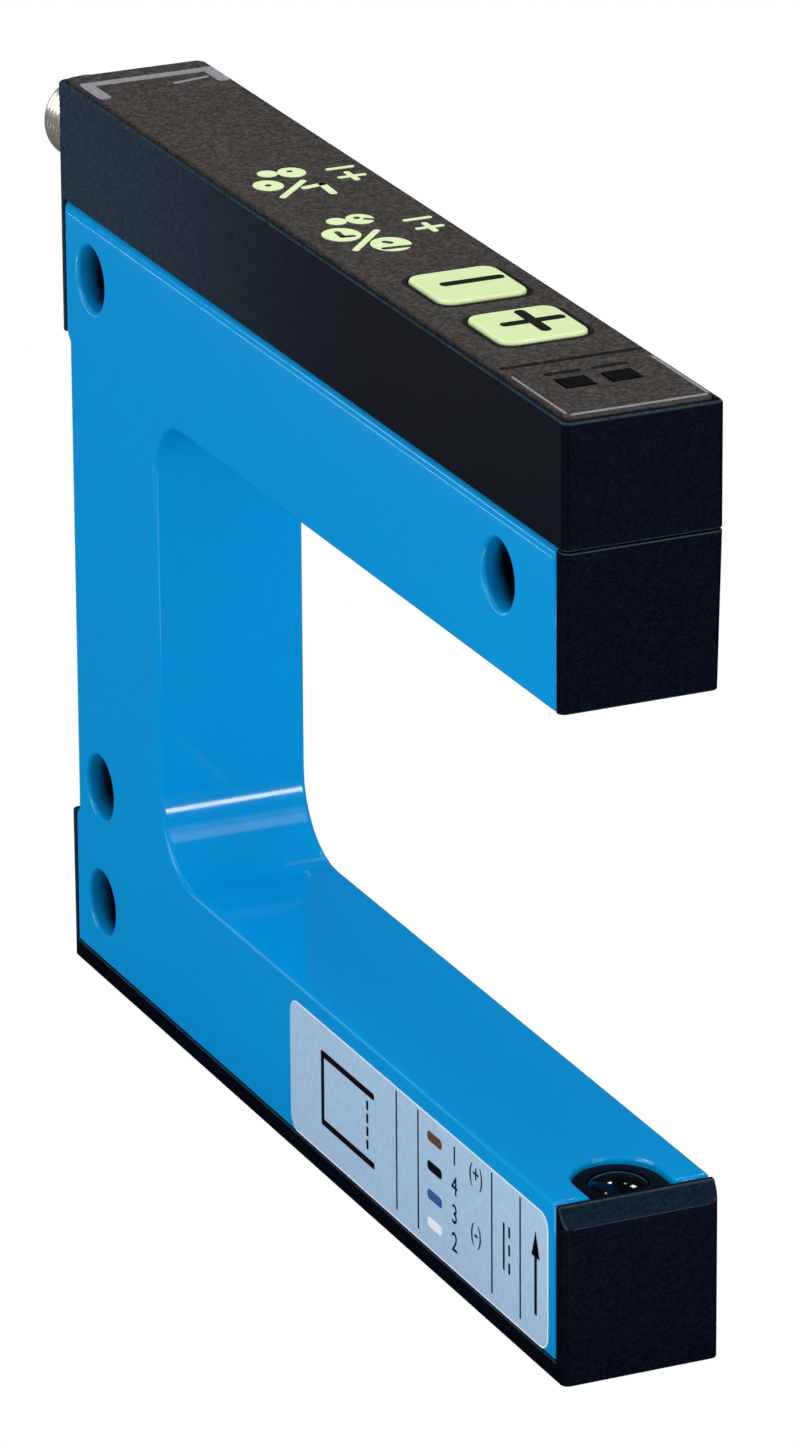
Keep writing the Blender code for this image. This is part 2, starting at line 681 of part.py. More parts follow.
def build_key(name, place, material):
    """Key cap with a round stem, its origin on the axis that it slides along."""
    low = RECESS_FLOOR + SLIDE + KEY_TRAVEL
    high = OVERLAY_TOP + KEY_PROUD
    half = KEY_SIZE / 2
    mesh = bmesh.new()
    add_prism(mesh, rounded_rectangle(place, (half, half), KEY_CORNER), low, high)
    round_edges(mesh, KEY_EDGE, 2, lambda e: both_ends(e, 2, high))
    key = make_object(name + "_key", mesh, material, (place[0], place[1], low))
    stem = bmesh.new()
    stem_bottom = key_stem_bottom()
    middle = (low + high) / 2
    profile = [(0.0, middle), (KEY_STEM_RADIUS, middle), (KEY_STEM_RADIUS, stem_bottom), (0.0, stem_bottom)]
    add_turned(stem, profile, (place[0], place[1], 0.0))
    apply_tool(key, stem, "UNION", name + "_stem_guide")
    return key


def switch_top():
    """Top face of a switch on the main board."""
    return BOARD_TOP + BOARD_PAD + SWITCH_HEIGHT


def plunger_bottom():
    """Lower end of a switch plunger at rest."""
    return BOARD_TOP + BOARD_PAD + SWITCH_FLOOR + SLIDE + KEY_TRAVEL


def key_stem_bottom():
    """Lower end of a key's stem, just above the switch plunger."""
    return switch_top() + KEY_TRAVEL + 2 * SEAT


def build_plunger(name, place, key, material):
    """Switch plunger that the key's stem pushes, carried by the key."""
    low = plunger_bottom()
    high = key_stem_bottom() - BOARD_PAD
    profile = [(0.0, high - low), (PLUNGER_RADIUS, high - low), (PLUNGER_RADIUS, 0.0), (0.0, 0.0)]
    mesh = bmesh.new()
    add_turned(mesh, profile, (0.0, 0.0, 0.0), "Z", SMALL_ROUND_STEPS)
    plunger = make_object(name + "_plunger", mesh, material)
    plunger.parent = key
    plunger.location = (0.0, 0.0, low - key.location.z)
    return plunger


def build_switch(name, place, material):
    """Push switch on the main board, with a blind bore for its plunger."""
    half = SWITCH_SIZE / 2
    low = BOARD_TOP + BOARD_PAD
    mesh = bmesh.new()
    add_box(mesh, (place[0] - half, place[0] + half), (place[1] - half, place[1] + half),
            (low, switch_top()))
    switch = make_object(name + "_switch", mesh, material)
    bore = bmesh.new()
    radius = PLUNGER_RADIUS + SLIDE
    past = switch_top() + SEAT
    floor = low + SWITCH_FLOOR
    profile = [(0.0, past), (radius, past), (radius, floor), (0.0, floor)]
    add_turned(bore, profile, (place[0], place[1], 0.0), "Z", SMALL_ROUND_STEPS)
    apply_tool(switch, bore, "DIFFERENCE", name + "_switch_bore_cutter")
    return switch


def build_window(index, place, material):
    """Light pipe: a stem that ends flush in the plate and a flange under the roof."""
    x, y = place
    half_x = WINDOW_LENGTH / 2
    half_y = WINDOW_WIDTH / 2
    flange_top = COVER_CEILING - SEAM
    mesh = bmesh.new()
    add_box(mesh, (x - half_x, x + half_x), (y - half_y, y + half_y), (led_top() + SEAT, OVERLAY_TOP))
    window = make_object("status_window_%d" % index, mesh, material)
    flange = bmesh.new()
    wide_x = half_x + WINDOW_FLANGE
    wide_y = half_y + WINDOW_FLANGE
    add_box(flange, (x - wide_x, x + wide_x), (y - wide_y, y + wide_y),
            (flange_top - WINDOW_FLANGE_HEIGHT, flange_top))
    apply_tool(window, flange, "UNION", "status_window_%d_flange_guide" % index)
    return window


def led_top():
    """Top face of the status lamps on the main board."""
    return BOARD_TOP + BOARD_PAD + LED_SIZE[2]


def build_led(index, place, material):
    """Status lamp on the main board, with a chamfered top."""
    x, y = place
    mesh = bmesh.new()
    add_box(mesh, (x - LED_SIZE[0] / 2, x + LED_SIZE[0] / 2), (y - LED_SIZE[1] / 2, y + LED_SIZE[1] / 2),
            (BOARD_TOP + BOARD_PAD, led_top()))
    round_edges(mesh, SEAM, 1, lambda e: both_ends(e, 2, led_top()))
    return make_object("status_led_%d" % index, mesh, material)


def build_connector(shell_material, insert_material, pin_material, seal_material):
    """Plug shell with its collar, its insert, four pins and the seal behind the collar."""
    centre = (0.0, 0.0, CONNECTOR_Z)
    face = COVER_REAR - SEAM - SEAL_SECTION - SEAM
    end = face - CONNECTOR_REACH
    socket_floor = end + CONNECTOR_SOCKET_DEPTH
    neck_end = COVER_REAR + COVER_REAR_WALL - SEAT
    collar = PLUG_RADIUS + COLLAR_RIM
    edge = CONNECTOR_CHAMFER
    shell = bmesh.new()
    add_turned(shell, [
        (BORE_RADIUS, neck_end), (NECK_RADIUS, neck_end), (NECK_RADIUS, face), (collar - edge, face),
        (collar, face - edge), (collar, face - COLLAR_WIDTH + edge), (collar - edge, face - COLLAR_WIDTH),
        (PLUG_RADIUS, face - COLLAR_WIDTH), (PLUG_RADIUS, end + edge), (PLUG_RADIUS - edge, end),
        (SOCKET_RADIUS, end), (SOCKET_RADIUS, socket_floor), (BORE_RADIUS, socket_floor),
    ], centre, "X")
    make_object("connector_shell", shell, shell_material)

    tail = neck_end + INSERT_TAIL
    body = BORE_RADIUS - SEAM
    insert = bmesh.new()
    add_turned(insert, [
        (0.0, tail), (NECK_RADIUS, tail), (NECK_RADIUS, neck_end + SEAM), (body, neck_end),
        (body, socket_floor), (0.0, socket_floor),
    ], centre, "X")
    insert_object = make_object("connector_insert", insert, insert_material)
    pin_holes = bmesh.new()
    for y, z in pin_places():
        reach = (socket_floor - SEAT, tail + SEAT)
        radius = PIN_DIAMETER / 2 + SEAM
        profile = [(0.0, reach[1]), (radius, reach[1]), (radius, reach[0]), (0.0, reach[0])]
        add_turned(pin_holes, profile, (0.0, y, z), "X", SMALL_ROUND_STEPS)
    apply_tool(insert_object, pin_holes, "DIFFERENCE", "insert_pin_hole_cutter")

    tip = end + PIN_SETBACK
    radius = PIN_DIAMETER / 2
    for index, (y, z) in enumerate(pin_places(), 1):
        pin = bmesh.new()
        profile = [(0.0, tail + PIN_TAIL), (radius, tail + PIN_TAIL), (radius, tip + radius / 2),
                   (radius / 2, tip), (0.0, tip)]
        add_turned(pin, profile, (0.0, y, z), "X", SMALL_ROUND_STEPS)
        make_object("contact_pin_%d" % index, pin, pin_material)

    seal = bmesh.new()
    section = SEAL_SECTION / 2
    ring = arc((NECK_RADIUS + SEAM + section, COVER_REAR - SEAM - section), section, 0, 360, 12)[:-1]
    add_turned(seal, ring, centre, "X")
    make_object("connector_seal", seal, seal_material)


def pin_places():
    """Centres of the four pins on their circle, as y and z."""
    places = []
    for index in range(4):
        angle = math.radians(45 + 90 * index)
        places.append((PIN_CIRCLE_RADIUS * math.cos(angle),
                       CONNECTOR_Z + PIN_CIRCLE_RADIUS * math.sin(angle)))
    return places


def build_main_board(material):
    """Main board under the cover, from behind the connector to the tip."""
    rear = COVER_REAR + COVER_REAR_WALL + INSERT_TAIL + PIN_TAIL + 2 * SEAT
    front = TIP - COVER_FRONT_WALL - HOUSING_WALL - 2 * SEAT
    mesh = bmesh.new()
    add_box(mesh, (rear, front), (-BOARD_HALF_WIDTH, BOARD_HALF_WIDTH), (BOARD_BOTTOM, BOARD_TOP))
    return make_object("main_board", mesh, material)


def build_chip(name, x, size, material, below=False):
    """Flat packaged part on the main board's top or under it."""
    low, high = BOARD_TOP + BOARD_PAD, BOARD_TOP + BOARD_PAD + size[2]
    if below:
        low, high = BOARD_BOTTOM - BOARD_PAD - size[2], BOARD_BOTTOM - BOARD_PAD
    mesh = bmesh.new()
    add_box(mesh, (x - size[0] / 2, x + size[0] / 2), (-size[1] / 2, size[1] / 2), (low, high))
    round_edges(mesh, SEAM, 1, lambda e: is_vertical(e))
    return make_object(name, mesh, material)


def build_optics(prefix, source_name, materials, upper):
    """One arm's lens, holder, light source or detector, and its small board."""
    place = mirrored if upper else float
    bottom, top = holder_span()

    def heights(low, high):
        return sorted((place(low), place(high)))

    outer = SLOT_RADIUS - SLIDE
    mesh = bmesh.new()
    add_prism(mesh, slot_outline(LENS_X, outer, HOUSING_FRONT), *heights(bottom, top))
    holder = make_object(prefix + "_holder", mesh, materials["black"])
    seat_radius = LENS_RADIUS + SEAM / 2
    bore_radius = LENS_RADIUS - HOLDER_WALL_STEP
    seat_floor = top - LENS_CROWN - LENS_EDGE - SEAM
    profile = [
        (0.0, place(top + SEAT)), (seat_radius, place(top + SEAT)), (seat_radius, place(seat_floor)),
        (bore_radius, place(seat_floor)), (bore_radius, place(bottom - SEAT)), (0.0, place(bottom - SEAT)),
    ]
    bore = bmesh.new()
    add_turned(bore, profile, (LENS_X, 0.0, 0.0))
    apply_tool(holder, bore, "DIFFERENCE", prefix + "_holder_bore_cutter")

    lens = bmesh.new()
    lens_low = seat_floor + SEAM
    rim = lens_low + LENS_EDGE
    crown = [(LENS_RADIUS * math.sin(math.radians(a)), place(rim + LENS_CROWN * math.cos(math.radians(a))))
             for a in range(0, 91, 15)]
    add_turned(lens, crown + [(LENS_RADIUS, place(lens_low)), (0.0, place(lens_low))], (LENS_X, 0.0, 0.0))
    make_object(prefix + "_lens", lens, materials["glass"])

    source = bmesh.new()
    base = bottom + SEAM - SEAT
    shoulder = base + EMITTER_HEIGHT - EMITTER_RADIUS
    dome = [(EMITTER_RADIUS * math.sin(math.radians(a)),
             place(shoulder + EMITTER_RADIUS * math.cos(math.radians(a)))) for a in range(0, 91, 15)]
    add_turned(source, dome + [(EMITTER_RADIUS, place(base)), (0.0, place(base))], (LENS_X, 0.0, 0.0),
               "Z", 24)
    make_object(source_name, source, materials["lamp"])

    board = bmesh.new()
    rear = emitter_board_rear()
    if upper:
        rear = TIP_HOLE_X + BOSS_RADIUS + SEAT
    add_box(board, (rear, HOUSING_FRONT - SEAT), (-BOARD_HALF_WIDTH, BOARD_HALF_WIDTH),
            heights(bottom - SEAT - BOARD_THICKNESS, bottom - SEAT))
    make_object(prefix + "_board", board, materials["board"])


def build_main_flex(material):
    """Flex strip from the main board down the spine and along the lower arm."""
    half = FLEX_THICKNESS / 2
    down_x = SPINE_FRONT - HOUSING_WALL - FLEX_FROM_SPINE_FRONT
    along_z = emitter_board_bottom() + BOARD_THICKNESS / 2
    centre = (down_x + FLEX_BEND, along_z + FLEX_BEND)
    top = BOARD_BOTTOM - SEAT
    end = emitter_board_rear() - SEAT
    outer = arc(centre, FLEX_BEND + half, 180, 270)
    inner = arc(centre, FLEX_BEND - half, 270, 180)
    outline = [(down_x - half, top)] + outer + [(end, along_z - half), (end, along_z + half)]
    outline += inner + [(down_x + half, top)]
    mesh = bmesh.new()
    add_prism(mesh, outline, -FLEX_WIDTH / 2, FLEX_WIDTH / 2, "Y")
    return make_object("main_flex", mesh, material)


def build_receiver_flex(material):
    """Short strip between the receiver's board and the main board."""
    low = mirrored(emitter_board_bottom()) + SEAT
    high = BOARD_BOTTOM - SEAT
    mesh = bmesh.new()
    add_box(mesh, (LENS_X - FLEX_THICKNESS / 2, LENS_X + FLEX_THICKNESS / 2),
            (-FLEX_WIDTH / 2, FLEX_WIDTH / 2), (low, high))
    return make_object("receiver_flex", mesh, material)


def build_materials():
    """One material for each finish on the object."""
    return {
        "blue": make_material("blue paint", "#0091D2", 0.3),
        "black": make_material("black plastic", "#1A222B", 0.5),
        "overlay": make_material("keypad plate", "#3C3734", 0.6),
        "key": make_material("pale green key", "#D9EFB4", 0.5),
        "dark": make_material("dark window", "#101216", 0.2),
        "white": make_material("white switch plastic", "#E8E6DE", 0.5),
        "lamp": make_material("clear lamp resin", "#D8D8D0", 0.1, transmission=0.6),
        "board": make_material("green board", "#1F5A38", 0.5),
        "chip": make_material("chip package", "#18181A", 0.6),
        "nickel": make_material("nickel", "#C9C7C1", 0.25, 1.0),
        "gold": make_material("gilded pin", "#E2C27A", 0.2, 1.0),
        "rubber": make_material("seal rubber", "#141414", 0.8),
        "glass": make_material("lens glass", "#20242C", 0.05, transmission=0.8),
        "flex": make_material("amber flex film", "#B5742A", 0.4),
    }


def parent_loose_objects(root):
    """Carry every object without a parent on the sensor's root empty."""
    for item in bpy.data.objects:
        if item is not root and item.parent is None:
            item.parent = root


def main():
    """Build the whole sensor."""
    clear_scene()
    root = bpy.data.objects.new("fork_sensor", None)
    bpy.context.collection.objects.link(root)
    materials = build_materials()

    build_housing(materials["blue"])
    build_top_cover(materials["black"])
    build_upper_end_cap(materials["black"])
    build_bottom_cover(materials["black"])
    build_overlay(materials["overlay"])
    for name, place in key_places().items():
        key = build_key(name, place, materials["key"])
        build_plunger(name, place, key, materials["chip"])
        build_switch(name, place, materials["white"])
    for index, place in enumerate(window_places(), 1):
        build_window(index, place, materials["dark"])
        build_led(index, place, materials["lamp"])
    build_connector(materials["nickel"], materials["black"], materials["gold"], materials["rubber"])
    build_main_board(materials["board"])
    chip = materials["chip"]
    build_chip("regulator_chip", SPINE_FRONT - REGULATOR_BEHIND_SPINE, REGULATOR_SIZE, chip)
    build_chip("controller_chip", SPINE_FRONT + CONTROLLER_FROM_SPINE, CONTROLLER_SIZE, chip)
    build_chip("output_driver", SPINE_FRONT + DRIVER_FROM_SPINE, DRIVER_SIZE, chip, below=True)
    build_chip("amplifier_chip", TIP - AMPLIFIER_FROM_TIP, AMPLIFIER_SIZE, chip, below=True)
    build_optics("emitter", "emitter_led", materials, upper=False)
    build_optics("receiver", "receiver_diode", materials, upper=True)
    build_main_flex(materials["flex"])
    build_receiver_flex(materials["flex"])
    parent_loose_objects(root)


main()
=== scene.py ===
"""The looks of a fork sensor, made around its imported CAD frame.

A C-shaped casting in blue enamel carries grained black covers, a keypad plate on top, a
printed plate on the lower arm, a lens in each arm and a threaded plug at the rear. Sizes are
in metres and Z is up. The fork opens toward +X, and the camera sees its -Y side.
"""

import logging
import math
from collections.abc import Callable, Sequence
from dataclasses import dataclass
from enum import Enum
from typing import ClassVar

import bpy
from mathutils import Matrix, Vector


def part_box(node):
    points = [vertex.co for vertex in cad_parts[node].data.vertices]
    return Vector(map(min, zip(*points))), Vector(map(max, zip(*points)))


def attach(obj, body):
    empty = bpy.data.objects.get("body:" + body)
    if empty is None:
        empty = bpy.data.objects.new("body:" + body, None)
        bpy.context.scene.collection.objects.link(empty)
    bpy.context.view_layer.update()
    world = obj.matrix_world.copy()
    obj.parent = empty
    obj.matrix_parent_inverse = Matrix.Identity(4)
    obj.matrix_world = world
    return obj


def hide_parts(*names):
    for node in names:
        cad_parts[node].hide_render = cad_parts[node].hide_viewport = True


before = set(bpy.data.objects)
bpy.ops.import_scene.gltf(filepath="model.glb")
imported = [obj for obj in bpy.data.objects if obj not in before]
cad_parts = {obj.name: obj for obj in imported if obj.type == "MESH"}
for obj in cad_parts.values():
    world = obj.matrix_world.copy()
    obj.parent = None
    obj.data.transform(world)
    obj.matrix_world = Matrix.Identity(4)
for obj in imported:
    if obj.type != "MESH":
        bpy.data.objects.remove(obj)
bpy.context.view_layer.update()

LOG = logging.getLogger("fork_sensor")
MM = 0.001
Point = tuple[float, float, float]
Flat = tuple[float, float]
Stroke = tuple[Flat, Flat, float, int]
Sockets = tuple[tuple[str, float], ...]
Piece = bpy.types.Object
Tree = bpy.types.NodeTree
Socket = bpy.types.NodeSocket
# A wave texture whose scale is this over a length has a band every 6.3 lengths.
WAVE_SCALE = 0.05
# Points closer than this are merged.
WELD = 0.0005 * MM


class Body(Enum):
    """The CAD bodies that a piece can ride on."""

    SENSOR = "sensor_body"
    MINUS_KEY = "minus_key_body"
    PLUS_KEY = "plus_key_body"


class Axis(Enum):
    """Axes that a turned piece can stand on, with the turn that lays it there from +Z."""

    X = (0.0, math.pi / 2, 0.0)
    Z = (0.0, 0.0, 0.0)


def linear(hex_colour: str) -> tuple[float, float, float, float]:
    """Turn an sRGB hex colour into linear light.

    Args:
        hex_colour: A colour such as "#0091D2".

    Returns:
        Red, green, blue and full alpha.
    """
    channels = []
    for start in (1, 3, 5):
        value = int(hex_colour[start:start + 2], 16) / 255
        channels.append(value / 12.92 if value <= 0.04045 else ((value + 0.055) / 1.055) ** 2.4)
    return (channels[0], channels[1], channels[2], 1.0)


def add_node(
    tree: Tree, kind: str, settings: dict, links: dict
) -> bpy.types.Node:
    """Add a shader node, set it and link its inputs.

    Args:
        tree: The node tree that it goes into.
        kind: The node's type.
        settings: Values by socket name or number, or by property name.
        links: Output sockets by input name or number.

    Returns:
        The new node.
    """
    node = tree.nodes.new(kind)
    for name, value in settings.items():
        if isinstance(name, int) or name in node.inputs:
            node.inputs[name].default_value = value
        else:
            setattr(node, name, value)
    for name, output in links.items():
        tree.links.new(output, node.inputs[name])
    return node


@dataclass(frozen=True)
class Finish:
    """A surface with an even grain. Subclasses give other patterns.

    The pattern runs from 0 to 1. It mixes the second colour into the first, spreads the
    roughness and raises a relief.
    """

    name: str
    colour: str
    second: str
    share: float = 0.5
    grain: float = 0.3 * MM
    roughness: float = 0.5
    spread: float = 0.05
    relief: float = 0.0
    sockets: Sockets = ()

    DETAIL: ClassVar[float] = 2.0
    LIMITS: ClassVar[Flat] = (0.3, 0.7)

    def texture(self, tree: Tree, place: Socket) -> Socket:
        """Noise with features of the grain's real size."""
        noise = add_node(tree, "ShaderNodeTexNoise", {"Scale": 1 / self.grain, "Detail": self.DETAIL},
                         {"Vector": place})
        return noise.outputs["Fac"]

    def pattern(self, tree: Tree) -> Socket:
        """The texture, stretched from between its limits to 0 and 1."""
        place = add_node(tree, "ShaderNodeTexCoord", {}, {})
        low, high = self.LIMITS
        stretch = add_node(tree, "ShaderNodeMapRange", {"From Min": low, "From Max": high},
                           {"Value": self.texture(tree, place.outputs["Object"])})
        return stretch.outputs["Result"]

    def material(self) -> bpy.types.Material:
        """Build the material, or give back the one that is already there."""
        found = bpy.data.materials.get(self.name)
        if found:
            return found
        made = bpy.data.materials.new(self.name)
        made.use_nodes = True
        tree = made.node_tree
        shader = tree.nodes["Principled BSDF"]
        for name, value in self.sockets:
            shader.inputs[name].default_value = value
        pattern = self.pattern(tree)
        weight = add_node(tree, "ShaderNodeMath", {"operation": "MULTIPLY", 1: self.share},
                          {0: pattern})
        mix = add_node(tree, "ShaderNodeMix",
                       {"data_type": "RGBA", 6: linear(self.colour), 7: linear(self.second)},
                       {0: weight.outputs[0]})
        tree.links.new(mix.outputs[2], shader.inputs["Base Color"])
        smoothest, roughest = self.roughness - self.spread, self.roughness + self.spread
        rough = add_node(tree, "ShaderNodeMapRange", {"To Min": smoothest, "To Max": roughest},
                         {"Value": pattern})
        tree.links.new(rough.outputs["Result"], shader.inputs["Roughness"])
        if self.relief:
            bump = add_node(tree, "ShaderNodeBump", {"Distance": self.relief}, {"Height": pattern})
            tree.links.new(bump.outputs["Normal"], shader.inputs["Normal"])
        return made


@dataclass(frozen=True)
class Banded(Finish):
    """A surface with parallel bands across one axis, each a few grains wide."""

    WAVE: ClassVar[dict] = {}

    def texture(self, tree: Tree, place: Socket) -> Socket:
        """Bands that follow the subclass's settings."""
        wave = add_node(tree, "ShaderNodeTexWave",
                        {"wave_type": "BANDS", "Scale": WAVE_SCALE / self.grain, **self.WAVE},
                        {"Vector": place})
        return wave.outputs["Fac"]


@dataclass(frozen=True)
class Turned(Banded):
    """Metal with the fine rings that a lathe leaves around the X axis."""

    WAVE: ClassVar[dict] = {"bands_direction": "X", "Distortion": 0.6, "Detail": 1.0}
    LIMITS: ClassVar[Flat] = (0.0, 1.0)


@dataclass(frozen=True)
class Traced(Banded):
    """Solder mask over copper, with tracks along X that show through as paler lines."""

    WAVE: ClassVar[dict] = {"bands_direction": "Y", "Distortion": 3.0, "Detail": 0.0,
                            "Detail Scale": 0.4}
    LIMITS: ClassVar[Flat] = (0.62, 0.7)


@dataclass(frozen=True)
class Flecked(Finish):
    """A dark surface with separate fine flecks, from a coarse texture."""

    DETAIL: ClassVar[float] = 3.0
    LIMITS: ClassVar[Flat] = (0.08, 0.42)
    COARSER: ClassVar[float] = 0.4

    def texture(self, tree: Tree, place: Socket) -> Socket:
        """Cells of the grain's size, broken up by a coarser noise."""
        cells = add_node(tree, "ShaderNodeTexVoronoi", {"Scale": 1 / self.grain}, {"Vector": place})
        noise = add_node(tree, "ShaderNodeTexNoise",
                         {"Scale": self.COARSER / self.grain, "Detail": self.DETAIL},
                         {"Vector": place})
        product = add_node(tree, "ShaderNodeMath", {"operation": "MULTIPLY"},
                           {0: cells.outputs["Distance"], 1: noise.outputs["Fac"]})
        return product.outputs[0]


@dataclass(frozen=True)
class RearSheenFlecked(Flecked):
    """A flecked surface that is paler toward the rear: a painted sheen."""

    pale_from: float = 12.0 * MM
    pale_to: float = -34.0 * MM
    level: float = 0.55
    faint: float = 0.09

    def pattern(self, tree: Tree) -> Socket:
        """Flecks on an even level of painted sheen, which fades out toward the tips and leaves faint
        flecks there.
        """
        flecks = super().pattern(tree)
        raised = add_node(tree, "ShaderNodeMapRange", {"To Min": self.level}, {"Value": flecks})
        left = add_node(tree, "ShaderNodeMath", {"operation": "MULTIPLY", 1: self.faint}, {0: flecks})
        place = add_node(tree, "ShaderNodeTexCoord", {}, {})
        split = add_node(tree, "ShaderNodeSeparateXYZ", {}, {"Vector": place.outputs["Object"]})
        back = add_node(tree, "ShaderNodeMapRange",
                        {"From Min": self.pale_from, "From Max": self.pale_to,
                         "interpolation_type": "SMOOTHSTEP"},
                        {"Value": split.outputs["X"]})
        faded = add_node(tree, "ShaderNodeMath", {"operation": "MULTIPLY_ADD"},
                         {0: raised.outputs["Result"], 1: back.outputs["Result"], 2: left.outputs[0]})
        return faded.outputs[0]


@dataclass(frozen=True)
class BoreShade(Finish):
    """Painted shade that deepens from both mouths of a bore along Y, where the grain is half its length.
    """

    LIMITS: ClassVar[Flat] = (0.95, 0.7)
    FINER: ClassVar[float] = 4.0
    RAGGED: ClassVar[float] = 0.12

    def pattern(self, tree: Tree) -> Socket:
        """0 at the mouths of the bore and 1 deep in it, with a slightly ragged edge."""
        place = add_node(tree, "ShaderNodeTexCoord", {}, {})
        split = add_node(tree, "ShaderNodeSeparateXYZ", {}, {"Vector": place.outputs["Object"]})
        reach = add_node(tree, "ShaderNodeMath", {"operation": "ABSOLUTE"}, {0: split.outputs["Y"]})
        noise = add_node(tree, "ShaderNodeTexNoise",
                         {"Scale": self.FINER / self.grain, "Detail": self.DETAIL},
                         {"Vector": place.outputs["Object"]})
        edge = self.RAGGED * self.grain
        shift = add_node(tree, "ShaderNodeMath", {"operation": "MULTIPLY_ADD", 1: edge, 2: -edge / 2},
                         {0: noise.outputs["Fac"]})
        total = add_node(tree, "ShaderNodeMath", {"operation": "ADD"},
                         {0: reach.outputs[0], 1: shift.outputs[0]})
        low, high = self.LIMITS
        depth = add_node(tree, "ShaderNodeMapRange",
                         {"From Min": low * self.grain, "From Max": high * self.grain,
                          "interpolation_type": "SMOOTHSTEP"},
                         {"Value": total.outputs[0]})
        return depth.outputs["Result"]


def specular(level: float) -> Sockets:
    """The socket that says how much a surface that isn't metal reflects."""
    return (("Specular IOR Level", level),)


class Paint:
    """The finishes of the sensor, each named for its real material, some with painted light or shade in
    them.

    Each row gives, as Finish does, its two colours, the share of the second one, its grain, its
    roughness with its spread, its relief and more sockets.
    """

    # Enamel sprayed on a zinc die casting: level and glossy, with a slight orange peel.
    ENAMEL = Finish("Sprayed blue enamel", "#008FD2", "#008ACB", 0.5, 0.9 * MM, 0.1, 0.02, 0.0005 * MM,
                    specular(0.35))
    # The same enamel, darkened deep inside a bore by painted shade.
    BORE_SHADE = BoreShade("Enamel with painted shade in a bore", "#008FD2", "#010818", 1.0, 5.0 * MM, 0.4, 0.1, 0.0,
                    specular(0.1))
    # Glass-filled polyamide from a spark-eroded mould: a fine matt grain that breaks up light. Its
    # flecks grow paler toward the rear as a painted sheen.
    MOULDING = RearSheenFlecked("Grained black polyamide", "#020512", "#2A3C4A", 0.8, 0.15 * MM, 0.46, 0.08,
                      0.01 * MM, specular(0.04))
    # The same polyamide on the lower cover and the caps, without the painted sheen.
    LOWER = Flecked("Grained black polyamide, lower", "#020410", "#0A1624", 0.5, 0.15 * MM, 0.46, 0.08,
                    0.01 * MM, specular(0.04))
    # The plug's insert of the same polyamide, from a smooth mould and out of reach.
    INSERT = Finish("Smooth black polyamide", "#0A0B0D", "#16181B", 0.5, 0.2 * MM, 0.5, 0.05)
    # The same polyamide on the tilted face over the lower tip, paler as painted light.
    TILTED = Flecked("Grained black polyamide, tilted", "#04101B", "#0C2A3C", 0.6, 0.15 * MM, 0.46, 0.08,
                     0.01 * MM, specular(0.05))
    # The same polyamide along its rounded edges, smoother and paler as a painted highlight.
    EDGE_HIGHLIGHT = Finish("Black polyamide edge with painted highlight", "#13242F", "#294250", 0.7, 0.3 * MM, 0.4, 0.08,
                    0.004 * MM, specular(0.25))
    # The die-cut edge of the keypad plate: smoother than its face, and the same brown-grey.
    CUT_EDGE = Finish("Cut edge of keypad film", "#2B2826", "#474340", 0.7, 0.3 * MM, 0.45, 0.08, 0.0,
                      specular(0.3))
    # Textured polyester keypad film printed brown-grey on its back: many tiny flecks.
    KEYPAD = Flecked("Textured keypad film", "#262220", "#4A4541", 0.9, 0.28 * MM, 0.55, 0.08,
                     0.006 * MM, specular(0.3))
    # The same film where it is left clear over pale green ink: even, with a soft sheen.
    KEY = Finish("Clear keypad film over pale green", "#DBEFB6", "#CFE4A2", 0.7, 1.6 * MM, 0.4, 0.05,
                 0.0008 * MM)
    # Screen inks: a matt, slightly uneven coat.
    GREEN_INK = Finish("Pale green screen ink", "#DBEFB6", "#C9DEA4", 0.6, 0.35 * MM, 0.6)
    GREY_INK = Finish("Grey screen ink", "#8E9097", "#6E7077", 0.7, 0.3 * MM, 0.6)
    BLACK_INK = Finish("Black screen ink", "#060709", "#101216", 0.5, 0.3 * MM, 0.6, 0.05, 0.0,
                       specular(0.2))
    BROWN_INK = Finish("Brown screen ink", "#5A3A22", "#6B482C", 0.5, 0.3 * MM, 0.6)
    BLUE_INK = Finish("Blue screen ink", "#1D4E96", "#2B5CA3", 0.5, 0.3 * MM, 0.6)
    WHITE_INK = Finish("White screen ink", "#E9ECEE", "#DADEE2", 0.5, 0.3 * MM, 0.6)
    # Satin polyester label: pale blue-grey, with a faint metallic mottle.
    LABEL = Finish("Satin label film", "#A5C2DC", "#96B6D2", 0.7, 0.5 * MM, 0.45, 0.06, 0.001 * MM,
                   specular(0.35))
    # Nickel plate on a turned brass shell: bright, with the lathe's rings under it.
    NICKEL = Turned("Nickel plate on turned brass", "#E6E3DC", "#D2CFC8", 0.5, 0.12 * MM, 0.27, 0.05,
                    0.0003 * MM, (("Metallic", 0.8),))
    # Gold flash on a drawn pin.
    GOLD = Turned("Gold-flashed contact", "#E7C67C", "#D0AC60", 0.5, 0.15 * MM, 0.22, 0.05, 0.0,
                  (("Metallic", 1.0),))
    # Moulded nitrile rubber: dull, with a fine dusty bloom.
    RUBBER = Finish("Nitrile rubber", "#141414", "#242424", 0.6, 0.2 * MM, 0.8, 0.06, 0.003 * MM)
    # Polished filter glass that looks black and passes only the beam.
    GLASS = Finish("Polished filter glass", "#020305", "#06080C", 0.5, 0.8 * MM, 0.05, 0.02, 0.0,
                   (("IOR", 1.52), ("Specular IOR Level", 0.3)))
    # Smoked polycarbonate light pipe: smooth and almost black while its lamp is off.
    SMOKED = Finish("Smoked polycarbonate", "#07080A", "#101216", 0.5, 0.5 * MM, 0.16, 0.05, 0.0,
                    (("IOR", 1.58), ("Specular IOR Level", 0.3)))
    # Solder mask over copper tracks on a glass-fibre board.
    BOARD = Traced("Green solder mask over tracks", "#1B5335", "#2F7650", 0.9, 0.7 * MM, 0.4, 0.06,
                   0.01 * MM)
